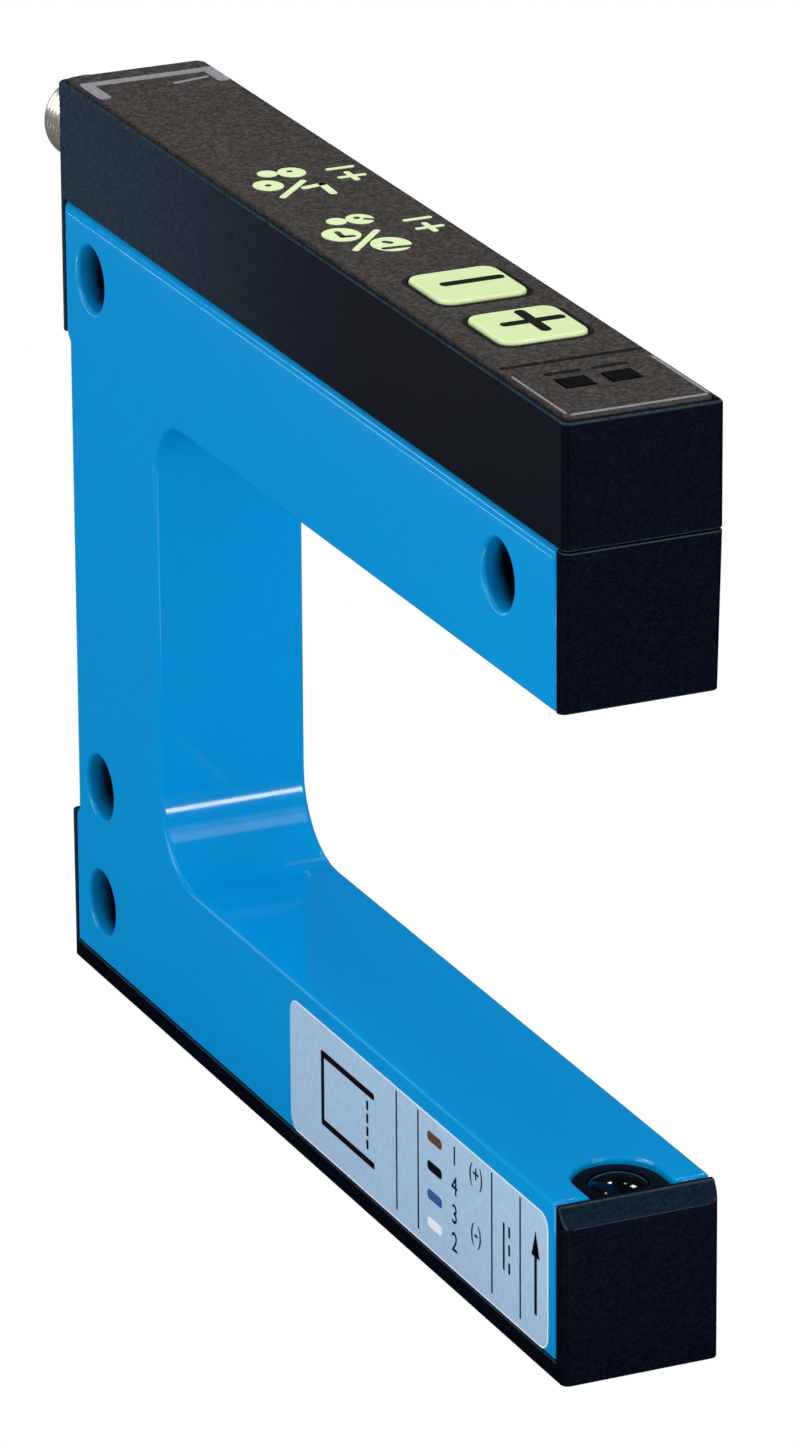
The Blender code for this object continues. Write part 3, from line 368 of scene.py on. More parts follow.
    # Transfer-moulded epoxy packages.
    CHIP = Finish("Moulded epoxy package", "#17171A", "#26262A", 0.6, 0.15 * MM, 0.6, 0.06, 0.003 * MM)
    # Off-white switch housing in nylon.
    NYLON = Finish("Off-white nylon", "#E6E3DA", "#D8D4C8", 0.6, 0.4 * MM, 0.5, 0.05, 0.002 * MM)
    # Clear cast resin of the lamps and the detector.
    RESIN = Finish("Clear cast resin", "#DCDCD2", "#CFCFC4", 0.5, 0.5 * MM, 0.1, 0.04, 0.0,
                   (("Transmission Weight", 0.6), ("IOR", 1.52)))
    # Polyimide flex with copper tracks that show through the amber film.
    FLEX = Traced("Polyimide film over tracks", "#B06E26", "#D19350", 0.8, 0.5 * MM, 0.35, 0.05,
                  0.004 * MM)
    # Tin on the legs of the packages.
    TIN = Finish("Matt tin plate", "#B9BABC", "#A2A4A7", 0.6, 0.2 * MM, 0.4, 0.08, 0.002 * MM,
                 (("Metallic", 1.0),))


def deselect() -> None:
    """Leave nothing selected, since a loaded frame stays selected."""
    bpy.ops.object.select_all(action="DESELECT")


def take(*pieces: Piece) -> None:
    """Select these pieces alone, the first one active."""
    deselect()
    for piece in pieces:
        piece.select_set(True)
    bpy.context.view_layer.objects.active = pieces[0]


def settle(name: str) -> Piece:
    """Name the active piece and put its place, turn and scale into its mesh."""
    piece = bpy.context.object
    piece.name = name
    piece.data.name = name
    take(piece)
    bpy.ops.object.transform_apply(location=True, rotation=True, scale=True)
    return piece


def block(name: str, low: Point, high: Point) -> Piece:
    """Add a cube that fills the space between two corners."""
    deselect()
    centre = [(a + b) / 2 for a, b in zip(low, high)]
    bpy.ops.mesh.primitive_cube_add(size=1.0, location=centre)
    bpy.context.object.scale = [b - a for a, b in zip(low, high)]
    return settle(name)


def open_edges(piece: Piece, wanted: Callable[[Vector, Vector], bool]) -> None:
    """Open a piece in edit mode with the edges selected whose two ends pass a test."""
    take(piece)
    bpy.ops.object.mode_set(mode="EDIT")
    bpy.ops.mesh.select_mode(type="EDGE")
    bpy.ops.mesh.select_all(action="DESELECT")
    bpy.ops.object.mode_set(mode="OBJECT")
    verts = piece.data.vertices
    for edge in piece.data.edges:
        edge.select = wanted(verts[edge.vertices[0]].co, verts[edge.vertices[1]].co)
    bpy.ops.object.mode_set(mode="EDIT")


def bevel_edges(
    piece: Piece, width: float, segments: int, wanted: Callable[[Vector, Vector], bool]
) -> None:
    """Round the edges whose two ends pass a test."""
    open_edges(piece, wanted)
    bpy.ops.mesh.bevel(offset=width, segments=segments, affect="EDGES")
    bpy.ops.object.mode_set(mode="OBJECT")


def upright(first: Vector, last: Vector) -> bool:
    """True for an edge that stands along Z."""
    return (first - last).to_2d().length < 0.001 * MM


def join(name: str, pieces: Sequence[Piece]) -> Piece:
    """Join pieces into one and name it."""
    take(*pieces)
    if len(pieces) > 1:
        bpy.ops.object.join()
    return settle(name)


def dress(
    piece: Piece, finish: Finish, body: Body = Body.SENSOR, smooth: float = 30.0
) -> Piece:
    """Give a finished piece its material, its shading and its body.

    Args:
        piece: The piece, with its place in its mesh.
        finish: Its finish.
        body: The CAD body that it rides on.
        smooth: Edges flatter than this many degrees are shaded smooth.

    Returns:
        The same piece.
    """
    piece.data.materials.clear()
    piece.data.materials.append(finish.material())
    take(piece)
    bpy.ops.object.shade_smooth_by_angle(angle=math.radians(smooth))
    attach(piece, body.value)
    LOG.info("%s: %d faces, %s", piece.name, len(piece.data.polygons), finish.name)
    return piece


def lathe(
    name: str, profile: Sequence[Flat], centre: Point, axis: Axis, steps: int = 64
) -> Piece:
    """Spin a profile into a closed turned piece.

    Args:
        name: The piece's name.
        profile: Points as radius and height along the axis. It may start and end on the axis.
        centre: The place of height 0 on the axis.
        axis: The axis that the piece stands on.
        steps: Facets round the piece.

    Returns:
        The turned piece.
    """
    deselect()
    bpy.ops.mesh.primitive_plane_add(size=MM, location=(0.0, 0.0, 0.0))
    bpy.ops.object.mode_set(mode="EDIT")
    bpy.ops.mesh.merge(type="CENTER")
    bpy.ops.mesh.select_mode(type="VERT")
    bpy.ops.mesh.select_all(action="SELECT")
    bpy.ops.transform.translate(value=(profile[0][0], 0.0, profile[0][1]))
    closed = profile[0][0] > 0.0
    points = list(profile) + ([profile[0]] if closed else [])
    for before, after in zip(points, points[1:]):
        bpy.ops.mesh.extrude_region_move(
            TRANSFORM_OT_translate={"value": (after[0] - before[0], 0.0, after[1] - before[1])})
    bpy.ops.mesh.select_all(action="SELECT")
    bpy.ops.mesh.remove_doubles(threshold=WELD)
    bpy.ops.mesh.spin(steps=steps, angle=math.tau, center=(0.0, 0.0, 0.0), axis=(0.0, 0.0, 1.0))
    bpy.ops.mesh.select_all(action="SELECT")
    bpy.ops.mesh.remove_doubles(threshold=WELD)
    bpy.ops.mesh.normals_make_consistent(inside=False)
    bpy.ops.object.mode_set(mode="OBJECT")
    piece = bpy.context.object
    piece.rotation_euler = axis.value
    piece.location = centre
    return settle(name)


def bar(name: str, start: Flat, end: Flat, width: float, low: float, high: float) -> Piece:
    """Add a flat stroke with rounded ends, lying level between two heights."""
    a, b = Vector(start), Vector(end)
    length = (b - a).length + width
    piece = block(name, (-length / 2, -width / 2, low), (length / 2, width / 2, high))
    bevel_edges(piece, width * 0.42, 4, upright)
    middle = (a + b) / 2
    piece.rotation_euler = (0.0, 0.0, math.atan2(b.y - a.y, b.x - a.x))
    piece.location = (middle.x, middle.y, 0.0)
    return settle(name)


def centred(name: str, at: Flat, half: Flat, width: float, low: float, high: float) -> Piece:
    """Add a flat stroke that reaches equally far to both sides of its middle."""
    return bar(name, (at[0] - half[0], at[1] - half[1]), (at[0] + half[0], at[1] + half[1]), width,
               low, high)


def strokes(
    name: str, rows: Sequence[Stroke], low: float, high: float, origin: float = 0.0, step: float = 0.0
) -> list[Piece]:
    """Add a flat stroke for each row of a table in millimetres.

    Args:
        name: The strokes' name.
        rows: The start, the end, the width and the rise of each, the rise in steps.
        low: The height of the undersides.
        high: The height of the tops, without the rise.
        origin: The x that the table counts from.
        step: The height of a step, which keeps tops that cross out of one plane.

    Returns:
        The strokes, in the table's order.
    """
    return [bar(name, (origin + a[0] * MM, a[1] * MM), (origin + b[0] * MM, b[1] * MM), width * MM,
                low, high + rise * step)
            for a, b, width, rise in rows]


def disc(
    name: str, centre: Flat, radii: Flat, low: float, high: float, corners: int = 40
) -> Piece:
    """Add a flat round, oval or cornered spot between two heights."""
    deselect()
    bpy.ops.mesh.primitive_cylinder_add(vertices=corners, radius=1.0, depth=1.0,
                                        location=(centre[0], centre[1], (low + high) / 2))
    bpy.context.object.scale = (radii[0], radii[1], high - low)
    return settle(name)


def sign(name: str, body: str, centre: Flat, height: float, thickness: float) -> Piece:
    """Add a plain number or sign lying level, with its underside at height 0."""
    deselect()
    bpy.ops.object.text_add(location=(0.0, 0.0, 0.0))
    words = bpy.context.object
    words.data.body = body
    words.data.size = height
    words.data.align_x = "CENTER"
    words.data.align_y = "CENTER"
    words.data.extrude = thickness / 2
    bpy.ops.object.convert(target="MESH")
    piece = bpy.context.object
    piece.location = (centre[0], centre[1], thickness / 2)
    return settle(name)


def paint_node(node: str, finish: Finish) -> None:
    """Put a finish in a CAD node's material slot."""
    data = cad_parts[node].data
    data.materials.clear()
    data.materials.append(finish.material())


def merged_copy(node: str, name: str) -> Piece:
    """Copy a CAD node's mesh, merge its points and join its level triangles."""
    piece = bpy.data.objects.new(name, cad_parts[node].data.copy())
    bpy.context.scene.collection.objects.link(piece)
    take(piece)
    bpy.ops.mesh.customdata_custom_splitnormals_clear()
    bpy.ops.object.mode_set(mode="EDIT")
    bpy.ops.mesh.select_all(action="SELECT")
    bpy.ops.mesh.remove_doubles(threshold=WELD)
    bpy.ops.mesh.dissolve_limited(angle_limit=math.radians(1.0))
    bpy.ops.object.mode_set(mode="OBJECT")
    return piece


def level_shading(piece: Piece) -> None:
    """Keep flat faces flat beside smooth rounds."""
    take(piece)
    weighted = piece.modifiers.new("level shading", "WEIGHTED_NORMAL")
    weighted.keep_sharp = True
    bpy.ops.object.modifier_apply(modifier=weighted.name)


@dataclass
class Casting:
    """The blue casting: the CAD shape with smooth rounds and four bores across it."""

    bore_radius: float = 2.1 * MM
    bores: tuple[Flat, ...] = (
        (-32.0 * MM, 47.1 * MM), (28.1 * MM, 47.1 * MM), (-32.0 * MM, 5.2 * MM), (-32.0 * MM, 13.1 * MM),
    )

    def in_bore(self, face: bpy.types.MeshPolygon) -> bool:
        """True for a face on the wall of a bore."""
        reach = self.bore_radius + 0.02 * MM
        near = any(math.hypot(face.center.x - x, face.center.z - z) < reach for x, z in self.bores)
        return near and abs(face.normal.y) < 0.2

    def build(self) -> None:
        """Make the casting in enamel, darkened deep inside its bores by painted shade."""
        casting = merged_copy("housing", "enamelled_casting")
        dress(casting, Paint.ENAMEL)
        casting.data.materials.append(Paint.BORE_SHADE.material())
        for face in casting.data.polygons:
            if self.in_bore(face):
                face.material_index = 1
        level_shading(casting)
        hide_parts("housing")


@dataclass
class Mouldings:
    """Black covers and the keypad plate, with the small radius that a mould leaves."""

    radius: float = 0.09 * MM
    plate_radius: float = 0.12 * MM
    edge_width: float = 0.07 * MM
    edge_rise: float = 0.01 * MM
    edge_inset: float = 0.5 * MM

    def soften(
        self, node: str, name: str, radius: float, finishes: tuple[Finish, Finish]
    ) -> Piece:
        """Copy a CAD node, round its sharp edges and let the copy stand for the node.

        Args:
            node: The CAD node.
            name: The new piece's name.
            radius: How far the rounds reach from the edges.
            finishes: The finish of the faces, then of the rounds.

        Returns:
            The new piece.
        """
        piece = merged_copy(node, name)
        piece.data.materials.clear()
        for finish in finishes:
            piece.data.materials.append(finish.material())
        bevel = piece.modifiers.new("mould radius", "BEVEL")
        bevel.width = radius
        bevel.segments = 2
        bevel.limit_method = "ANGLE"
        bevel.angle_limit = math.radians(40.0)
        bevel.use_clamp_overlap = False
        bevel.material = 1
        bpy.ops.object.modifier_apply(modifier=bevel.name)
        rounds = [face.index for face in piece.data.polygons if face.material_index == 1]
        dress(piece, finishes[0], smooth=60.0)
        piece.data.materials.append(finishes[1].material())
        for index in rounds:
            piece.data.polygons[index].material_index = 1
        level_shading(piece)
        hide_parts(node)
        return piece

    def tilted_face(self, cover: Piece) -> None:
        """Give the tilted face over the lower tip its painted light, and lay a painted highlight line
        along the edge under it.
        """
        cover.data.materials.append(Paint.TILTED.material())
        tilted = [face for face in cover.data.polygons
                  if face.material_index == 0 and face.normal.x > 0.7 and face.normal.z > 0.3]
        for face in tilted:
            face.material_index = 2
        points = [cover.data.vertices[index].co for face in tilted for index in face.vertices]
        x, z = max(point.x for point in points), min(point.z for point in points)
        side = max(point.y for point in points) - self.edge_inset
        edge = block("edge", (x - self.edge_width, -side, z - self.edge_width / 2),
                     (x + self.edge_rise, side, z + self.edge_width / 2))
        dress(join("tip_edge_highlight", [edge]), Paint.EDGE_HIGHLIGHT)

    def build(self) -> None:
        """Make the covers and the keypad plate."""
        covers = {}
        for node, finish in (("top_cover", Paint.MOULDING), ("bottom_cover", Paint.LOWER),
                             ("upper_end_cap", Paint.LOWER)):
            # Each cover's rounds get a painted highlight.
            covers[node] = self.soften(node, node + "_moulding", self.radius, (finish, Paint.EDGE_HIGHLIGHT))
        self.tilted_face(covers["bottom_cover"])
        self.soften("keypad_overlay", "keypad_plate", self.plate_radius, (Paint.KEYPAD, Paint.CUT_EDGE))


@dataclass
class KeypadPrint:
    """Ink on the plate and on the keys: plain signs and neutral pictograms."""

    ink: float = 0.03 * MM
    minus_at: Flat = (12.35 * MM, 0.75 * MM)
    plus_at: Flat = (20.6 * MM, 0.75 * MM)
    key_stroke: float = 0.66 * MM
    key_span: float = 1.7 * MM
    sign_span: float = 0.75 * MM
    sign_stroke: float = 0.38 * MM
    thin: float = 0.38 * MM
    key_gap: float = 0.15 * MM
    key_ring: float = 0.24 * MM
    key_corner: float = 1.05 * MM
    # The tables are in millimetres: spots by middle and radii, strokes as strokes() takes them.
    spots: tuple[tuple[Flat, Flat], ...] = (
        ((-12.35, -1.4), (0.66, 0.62)), ((-12.0, 0.05), (0.98, 0.86)), ((-10.15, -2.3), (1.05, 0.92)),
        ((-1.9, -1.5), (0.66, 0.62)), ((-1.75, -0.05), (0.98, 0.84)), ((0.6, -2.3), (1.3, 1.16)),
        ((3.5, -0.4), (1.36, 1.2)),
    )
    pale: tuple[Stroke, ...] = (
        ((-7.7, -2.4), (-10.1, -0.05), 0.42, 0), ((-8.85, -0.45), (-9.05, 0.75), 0.5, 0),
        ((-9.05, 0.75), (-7.2, 0.65), 0.5, 0), ((3.6, -2.7), (0.75, -0.1), 0.42, 0),
    )
    signs: tuple[Flat, ...] = ((-11.6, -9.8), (-0.35, 1.45))
    signs_at: float = 3.05
    marks: tuple[Stroke, ...] = (
        ((-12.2, 0.0), (-12.2, 0.0), 0.36, 2), ((-10.15, -2.3), (-10.15, -2.3), 0.4, 2),
        ((-2.0, -0.15), (-2.0, -0.15), 0.4, 2), ((-1.6, 0.25), (-1.1, 0.95), 0.3, 2),
        ((0.1, -2.35), (1.0, -2.4), 0.36, 2), ((1.0, -2.4), (1.15, -1.8), 0.36, 2),
        ((3.0, -0.55), (3.25, -0.35), 0.4, 2), ((4.15, -1.1), (4.35, 0.75), 0.4, 2),
    )
    # From the plate's rear edge, then from its front edge.
    rear_border: tuple[Stroke, ...] = (
        ((2.2, -4.1), (2.2, 4.1), 0.8, 0), ((2.2, -4.1), (5.1, -4.1), 0.8, 1),
        ((2.2, 4.1), (4.6, 4.1), 0.8, 2), ((4.1, 1.1), (3.7, 3.4), 0.3, 0),
    )
    # Painted highlight: thin grey lines along the plate's front edge and the sides beside it.
    front_edge_highlight: tuple[Stroke, ...] = (
        ((-0.27, -4.1), (-0.27, 4.1), 0.26, 0), ((-7.6, -4.38), (-0.6, -4.38), 0.14, 0),
        ((-7.6, 4.36), (-0.5, 4.36), 0.18, 1),
    )
    divider_at: float = 27.2
    divider: tuple[Flat, ...] = ((-1.6, 4.2), (-4.2, -4.06), (-3.6, -3.46), (-3.1, -2.96),
                                 (-2.65, -2.51), (-2.2, -2.06))
    window_at: float = 29.2
    window_lines: tuple[Flat, ...] = ((-2.4, -0.5), (0.55, 2.45))

    def levels(self, node: str) -> tuple[float, float, float]:
        """Underside and top of the ink on a node's top face, and the step between crossing inks."""
        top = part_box(node)[1].z
        return top - self.ink, top + self.ink, self.ink / 4

    def cross(self, name: str, at: Flat, span: float, width: float, node: str) -> list[Piece]:
        """The two strokes of a plus on a node's top face."""
        low, high, step = self.levels(node)
        return [centred(name, at, (0.0, span), width, low, high),
                centred(name, at, (span, 0.0), width, low, high + step)]

    def key_signs(self) -> None:
        """A minus and a plus on the key tops, which ride with their keys."""
        low, high, _ = self.levels("minus_key")
        minus = centred("minus_sign", self.minus_at, (0.0, self.key_span), self.key_stroke, low, high)
        dress(minus, Paint.BLACK_INK, Body.MINUS_KEY)
        plus = self.cross("plus", self.plus_at, self.key_span, self.key_stroke, "minus_key")
        dress(join("plus_sign", plus), Paint.BLACK_INK, Body.PLUS_KEY)

    def pictograms(self) -> None:
        """Two groups of neutral spots, rings and strokes in pale green, with dark marks in them."""
        low, high, step = self.levels("keypad_overlay")
        green = [disc("spot", (x * MM, y * MM), (a * MM, b * MM), low, high)
                 for (x, y), (a, b) in self.spots]
        green += strokes("stroke", self.pale, low, high)
        y = self.signs_at * MM
        for minus, plus in self.signs:
            green.append(centred("small_minus", (minus * MM, y), (0.0, self.sign_span),
                                 self.sign_stroke, low, high))
            green += self.cross("small_plus", (plus * MM, y), self.sign_span, self.sign_stroke,
                                "keypad_overlay")
        dress(join("pictograms", green), Paint.GREEN_INK)
        dark = strokes("mark", self.marks, low, high, 0.0, step)
        dress(join("pictogram_marks", dark), Paint.KEYPAD)

    def lines(self) -> None:
        """Grey border lines at the rear, thin grey lines of painted highlight along the front edge, a
        broken divider and fine lines before the windows.
        """
        low, high, step = self.levels("keypad_overlay")
        rear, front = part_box("keypad_overlay")
        grey = strokes("border", self.rear_border, low, high, rear.x, step)
        grey += strokes("border", self.front_edge_highlight, low, high, front.x, step)
        dress(join("border_print_and_edge_highlight", grey), Paint.GREY_INK)
        dark = [bar("line", (x * MM, start * MM), (x * MM, end * MM), self.thin, low, high)
                for x, rows in ((self.divider_at, self.divider), (self.window_at, self.window_lines))
                for start, end in rows]
        dress(join("plate_lines", dark), Paint.BLACK_INK)

    def key_outlines(self) -> None:
        """A dark ring on the plate round each key's opening."""
        low, high, _ = self.levels("keypad_overlay")
        grow = self.key_gap + self.key_ring
        rings = []
        for node in ("minus_key", "plus_key"):
            near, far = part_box(node)
            deselect()
            bpy.ops.mesh.primitive_plane_add(size=1.0)
            ring = bpy.context.object
            ring.location = ((near.x + far.x) / 2, (near.y + far.y) / 2, low)
            ring.scale = (far.x - near.x + 2 * grow, far.y - near.y + 2 * grow, 1.0)
            settle("key_ring")
            bpy.ops.object.mode_set(mode="EDIT")
            bpy.ops.mesh.select_mode(type="VERT")
            bpy.ops.mesh.select_all(action="SELECT")
            bpy.ops.mesh.bevel(offset=self.key_corner + self.key_ring, segments=6, affect="VERTICES")
            bpy.ops.mesh.select_all(action="SELECT")
            bpy.ops.mesh.inset(thickness=self.key_ring)
            bpy.ops.mesh.delete(type="FACE")
            bpy.ops.mesh.select_all(action="SELECT")
            bpy.ops.mesh.extrude_region_move(TRANSFORM_OT_translate={"value": (0.0, 0.0, high - low)})
            bpy.ops.mesh.select_all(action="SELECT")
            bpy.ops.mesh.normals_make_consistent(inside=False)
            bpy.ops.object.mode_set(mode="OBJECT")
            rings.append(ring)
        dress(join("key_outlines", rings), Paint.BLACK_INK)

    def build(self) -> None:
        """Print the keys and the plate."""
        paint_node("minus_key", Paint.KEY)
        paint_node("plus_key", Paint.KEY)
        self.key_signs()
        self.key_outlines()
        self.pictograms()
        self.lines()


@dataclass
class RatingPlate:
    """The printed plate on the lower arm, with plain numbers, signs and a mark for the beam."""

    rear: float = -1.9 * MM
    front: float = 34.75 * MM
    low: float = 1.5 * MM
    high: float = 9.95 * MM
    thickness: float = 0.08 * MM
    corner: float = 0.9 * MM
    rim_highlight: float = 0.12 * MM
    ink: float = 0.02 * MM
    line: float = 0.16 * MM
    arrow_at: float = 33.3 * MM
    arrow_foot: float = 3.2 * MM
    arrow_neck: float = 7.5 * MM
    arrow_tip: float = 8.5 * MM
    arrow_head: Flat = (0.62 * MM, 1.1 * MM)
    # From here on in millimetres, for tables: first the heights of the four rows of print.
    rows: tuple[float, ...] = (8.75, 6.85, 5.0, 3.2)
    dividers: tuple[float, ...] = (13.85, 16.95, 27.3, 31.2)
    divider_foot: float = 2.1
    divider_gap: float = 0.15
    numbers: str = "1432"
    numbers_at: float = 22.1
    number_size: float = 1.75
    supply: tuple[tuple[str, int], ...] = (("(+)", 0), ("(-)", 2))
    supply_at: float = 25.1
    supply_size: float = 1.6
    # The sign for direct current: a full line beside three dashes.
    direct_current: tuple[Stroke, ...] = (
        ((28.95, 4.4), (28.95, 7.2), 0.22, 0), ((29.7, 4.4), (29.7, 4.9), 0.22, 0),
        ((29.7, 5.55), (29.7, 6.05), 0.22, 0), ((29.7, 6.7), (29.7, 7.2), 0.22, 0),
    )
    # A plain line drawing of a fork and its dashed beam, where the real plate has a name.
    fork_mark: tuple[Stroke, ...] = (
        ((10.4, 3.6), (3.0, 3.6), 0.42, 0), ((3.0, 3.6), (3.0, 8.1), 0.42, 0),
        ((3.0, 8.1), (10.4, 8.1), 0.42, 0), ((9.6, 4.5), (9.6, 4.85), 0.28, 0),
        ((9.6, 5.35), (9.6, 5.7), 0.28, 0), ((9.6, 6.2), (9.6, 6.55), 0.28, 0),
        ((9.6, 7.05), (9.6, 7.4), 0.28, 0),
    )

    def stand(self, pieces: Sequence[Piece], name: str) -> Piece:
        """Join level pieces and stand them on the -Y side, x along x and y up."""
        piece = join(name, pieces)
        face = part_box("housing")[0].y
        piece.data.transform(Matrix.Translation((0.0, face, 0.0)) @ Matrix.Rotation(math.pi / 2, 4, "X"))
        piece.data.update()
        return piece

    def build(self) -> None:
        """Make the film with a painted highlight round its edge, its dividers, its numbers and its
        pictogram.
        """
        under = self.thickness / 2
        film = block("label", (self.rear, self.low, -under), (self.front, self.high, self.thickness))
        bevel_edges(film, self.corner, 6, upright)
        bevel_edges(film, self.thickness / 3, 1,
                    lambda a, b: min(a.z, b.z) > self.thickness * 0.9)
        dress(self.stand([film], "label_film"), Paint.LABEL)
        # A white rim that shows round the film is a painted highlight along the label's edge.
        rim = self.rim_highlight
        rim_highlight = block("rim_highlight", (self.rear - rim / 2, self.low - rim, -under),
                        (self.front + rim, self.high + rim / 2, under))
        bevel_edges(rim_highlight, self.corner + rim, 6, upright)
        dress(self.stand([rim_highlight], "label_rim_highlight"), Paint.WHITE_INK)

        low, high = self.thickness - self.ink, self.thickness + self.ink
        black = [block("divider", (x * MM - self.line / 2, self.divider_foot * MM, low),
                       (x * MM + self.line / 2, self.high - self.divider_gap * MM, high))
                 for x in self.dividers]
        words = [sign("number", number, (self.numbers_at * MM, y * MM), self.number_size * MM, self.ink)
                 for number, y in zip(self.numbers, self.rows)]
        words += [sign("supply", mark, (self.supply_at * MM, self.rows[row] * MM),
                       self.supply_size * MM, self.ink)
                  for mark, row in self.supply]
        for piece in words:
            piece.data.transform(Matrix.Translation((0.0, 0.0, self.thickness)))
        black += words + self.arrow(low, high)
        black += strokes("dc_line", self.direct_current, low, high)
        black += strokes("fork_line", self.fork_mark, low, high)
        dress(self.stand(black, "label_print"), Paint.BLACK_INK)
        self.wire_colours(low, high)

    def arrow(self, low: float, high: float) -> list[Piece]:
        """An arrow that points up the beam, beside the lens."""
        x, middle = self.arrow_at, self.arrow_tip - self.arrow_head[1]
        return [block("arrow_shaft", (x - self.line, self.arrow_foot, low),
                      (x + self.line, self.arrow_neck, high)),
                disc("arrow_head", (x, middle), self.arrow_head, low, high, corners=3)]

    def wire_colours(self, low: float, high: float) -> None:
        """A patch in each wire's colour, where the real plate has words."""
        inks = (("brown", Paint.BROWN_INK), ("black", Paint.BLACK_INK), ("blue", Paint.BLUE_INK),
                ("white", Paint.WHITE_INK))
        for (colour, ink), y in zip(inks, self.rows):
            patch = strokes("patch", [((18.6, y), (20.0, y), 0.62, 0)], low, high)
            dress(self.stand(patch, "wire_colour_" + colour), ink)


@dataclass
class Plug:
    """The plug at the rear: a nickel shell with a fine thread, its insert, pins and seal."""

    pitch: float = 0.5 * MM
    depth: float = 0.14 * MM
    wall: float = 0.65 * MM
    step: float = 0.4 * MM
    neck_wall: float = 0.4 * MM
    collar_rim: float = 0.65 * MM
    collar_width: float = 1.3 * MM
    socket_depth: float = 4.6 * MM
    groove: float = 0.5 * MM
    lead: float = 0.25 * MM
    chamfer: float = 0.14 * MM
    steps: int = 72

    def build(self) -> None:
        """Turn the shell with its thread and dress the rest."""
        low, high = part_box("connector_shell")
        centre_z = (low.z + high.z) / 2
        collar = (high.z - low.z) / 2
        outer = collar - self.collar_rim
        core = outer - self.depth
        socket = outer - self.wall
        bore = socket - self.step
        neck = bore + self.neck_wall
        end, neck_end = low.x, high.x
        floor = end + self.socket_depth
        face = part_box("connector_seal")[0].x - 0.1 * MM
        shoulder = face - self.collar_width
        cut = self.chamfer
        profile = [
            (bore, neck_end), (neck, neck_end), (neck, face), (collar - cut, face),
            (collar, face - cut), (collar, shoulder + cut), (collar - cut, shoulder), (core, shoulder),
        ]
        profile += self.thread(core, outer, end + self.lead, shoulder - self.groove)
        profile += [(outer - 0.3 * self.lead, end + 0.3 * self.lead), (outer - self.lead, end)]
        profile += [(socket + cut, end), (socket, end + cut), (socket, floor), (bore, floor)]
        piece = lathe("plug_shell", [(r, x - end) for r, x in profile], (end, 0.0, centre_z), Axis.X,
                      self.steps)
        dress(piece, Paint.NICKEL)
        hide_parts("connector_shell")
        paint_node("connector_insert", Paint.INSERT)
        paint_node("connector_seal", Paint.RUBBER)
        for index in range(1, 5):
            paint_node("contact_pin_%d" % index, Paint.GOLD)

    def thread(self, core: float, outer: float, start: float, stop: float) -> list[Flat]:
        """Profile of the thread, drawn as fine ring grooves because its pitch is so small.

        Args:
            core: Radius at the thread's root.
            outer: Radius at its crest.
            start: The x of the first crest, at the plug's end.
            stop: The x where the thread runs out.

        Returns:
            Points as radius and x, from the run-out to the first crest.
        """
        turns = math.floor((stop - start) / self.pitch)
        points = []
        for turn in reversed(range(turns)):
            crest = start + turn * self.pitch
            points.append((core, crest + 0.6 * self.pitch))
            points.append((outer, crest + 0.2 * self.pitch))
            points.append((outer, crest))
        return points


@dataclass
class Lenses:
    """A polished dome in each arm, in a black holder."""

    crown: float = 0.48 * MM
    rim_depth: float = 0.1 * MM
    rings: int = 12
    steps: int = 64

    def dome(self, node: str, name: str, up: float) -> None:
        """Turn a shallow dome in the place of a CAD lens, its rim just inside the holder's face."""
        low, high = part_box(node)
        radius = (high.x - low.x) / 2
        centre = ((low.x + high.x) / 2, 0.0, (low.z + high.z) / 2)
        half = (high.z - low.z) / 2
        rim = half - self.rim_depth
        sphere = (radius * radius + self.crown * self.crown) / (2 * self.crown)
        widest = math.asin(radius / sphere)
        profile = [(0.0, -up * half), (radius - 0.05 * MM, -up * half),
                   (radius, -up * (half - 0.05 * MM)), (radius, up * rim)]
        for step in range(1, self.rings):
            angle = widest * (1 - step / self.rings)
            rise = sphere * (math.cos(angle) - math.cos(widest))
            profile.append((sphere * math.sin(angle), up * (rim + rise)))
        profile.append((0.0, up * (rim + self.crown)))
        piece = lathe(name, profile, centre, Axis.Z, self.steps)
        dress(piece, Paint.GLASS)
        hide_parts(node)

    def build(self) -> None:
        """Make both domes and dress their holders."""
        self.dome("emitter_lens", "emitter_dome", 1.0)
        self.dome("receiver_lens", "receiver_dome", -1.0)
        paint_node("emitter_holder", Paint.LOWER)
        paint_node("receiver_holder", Paint.LOWER)


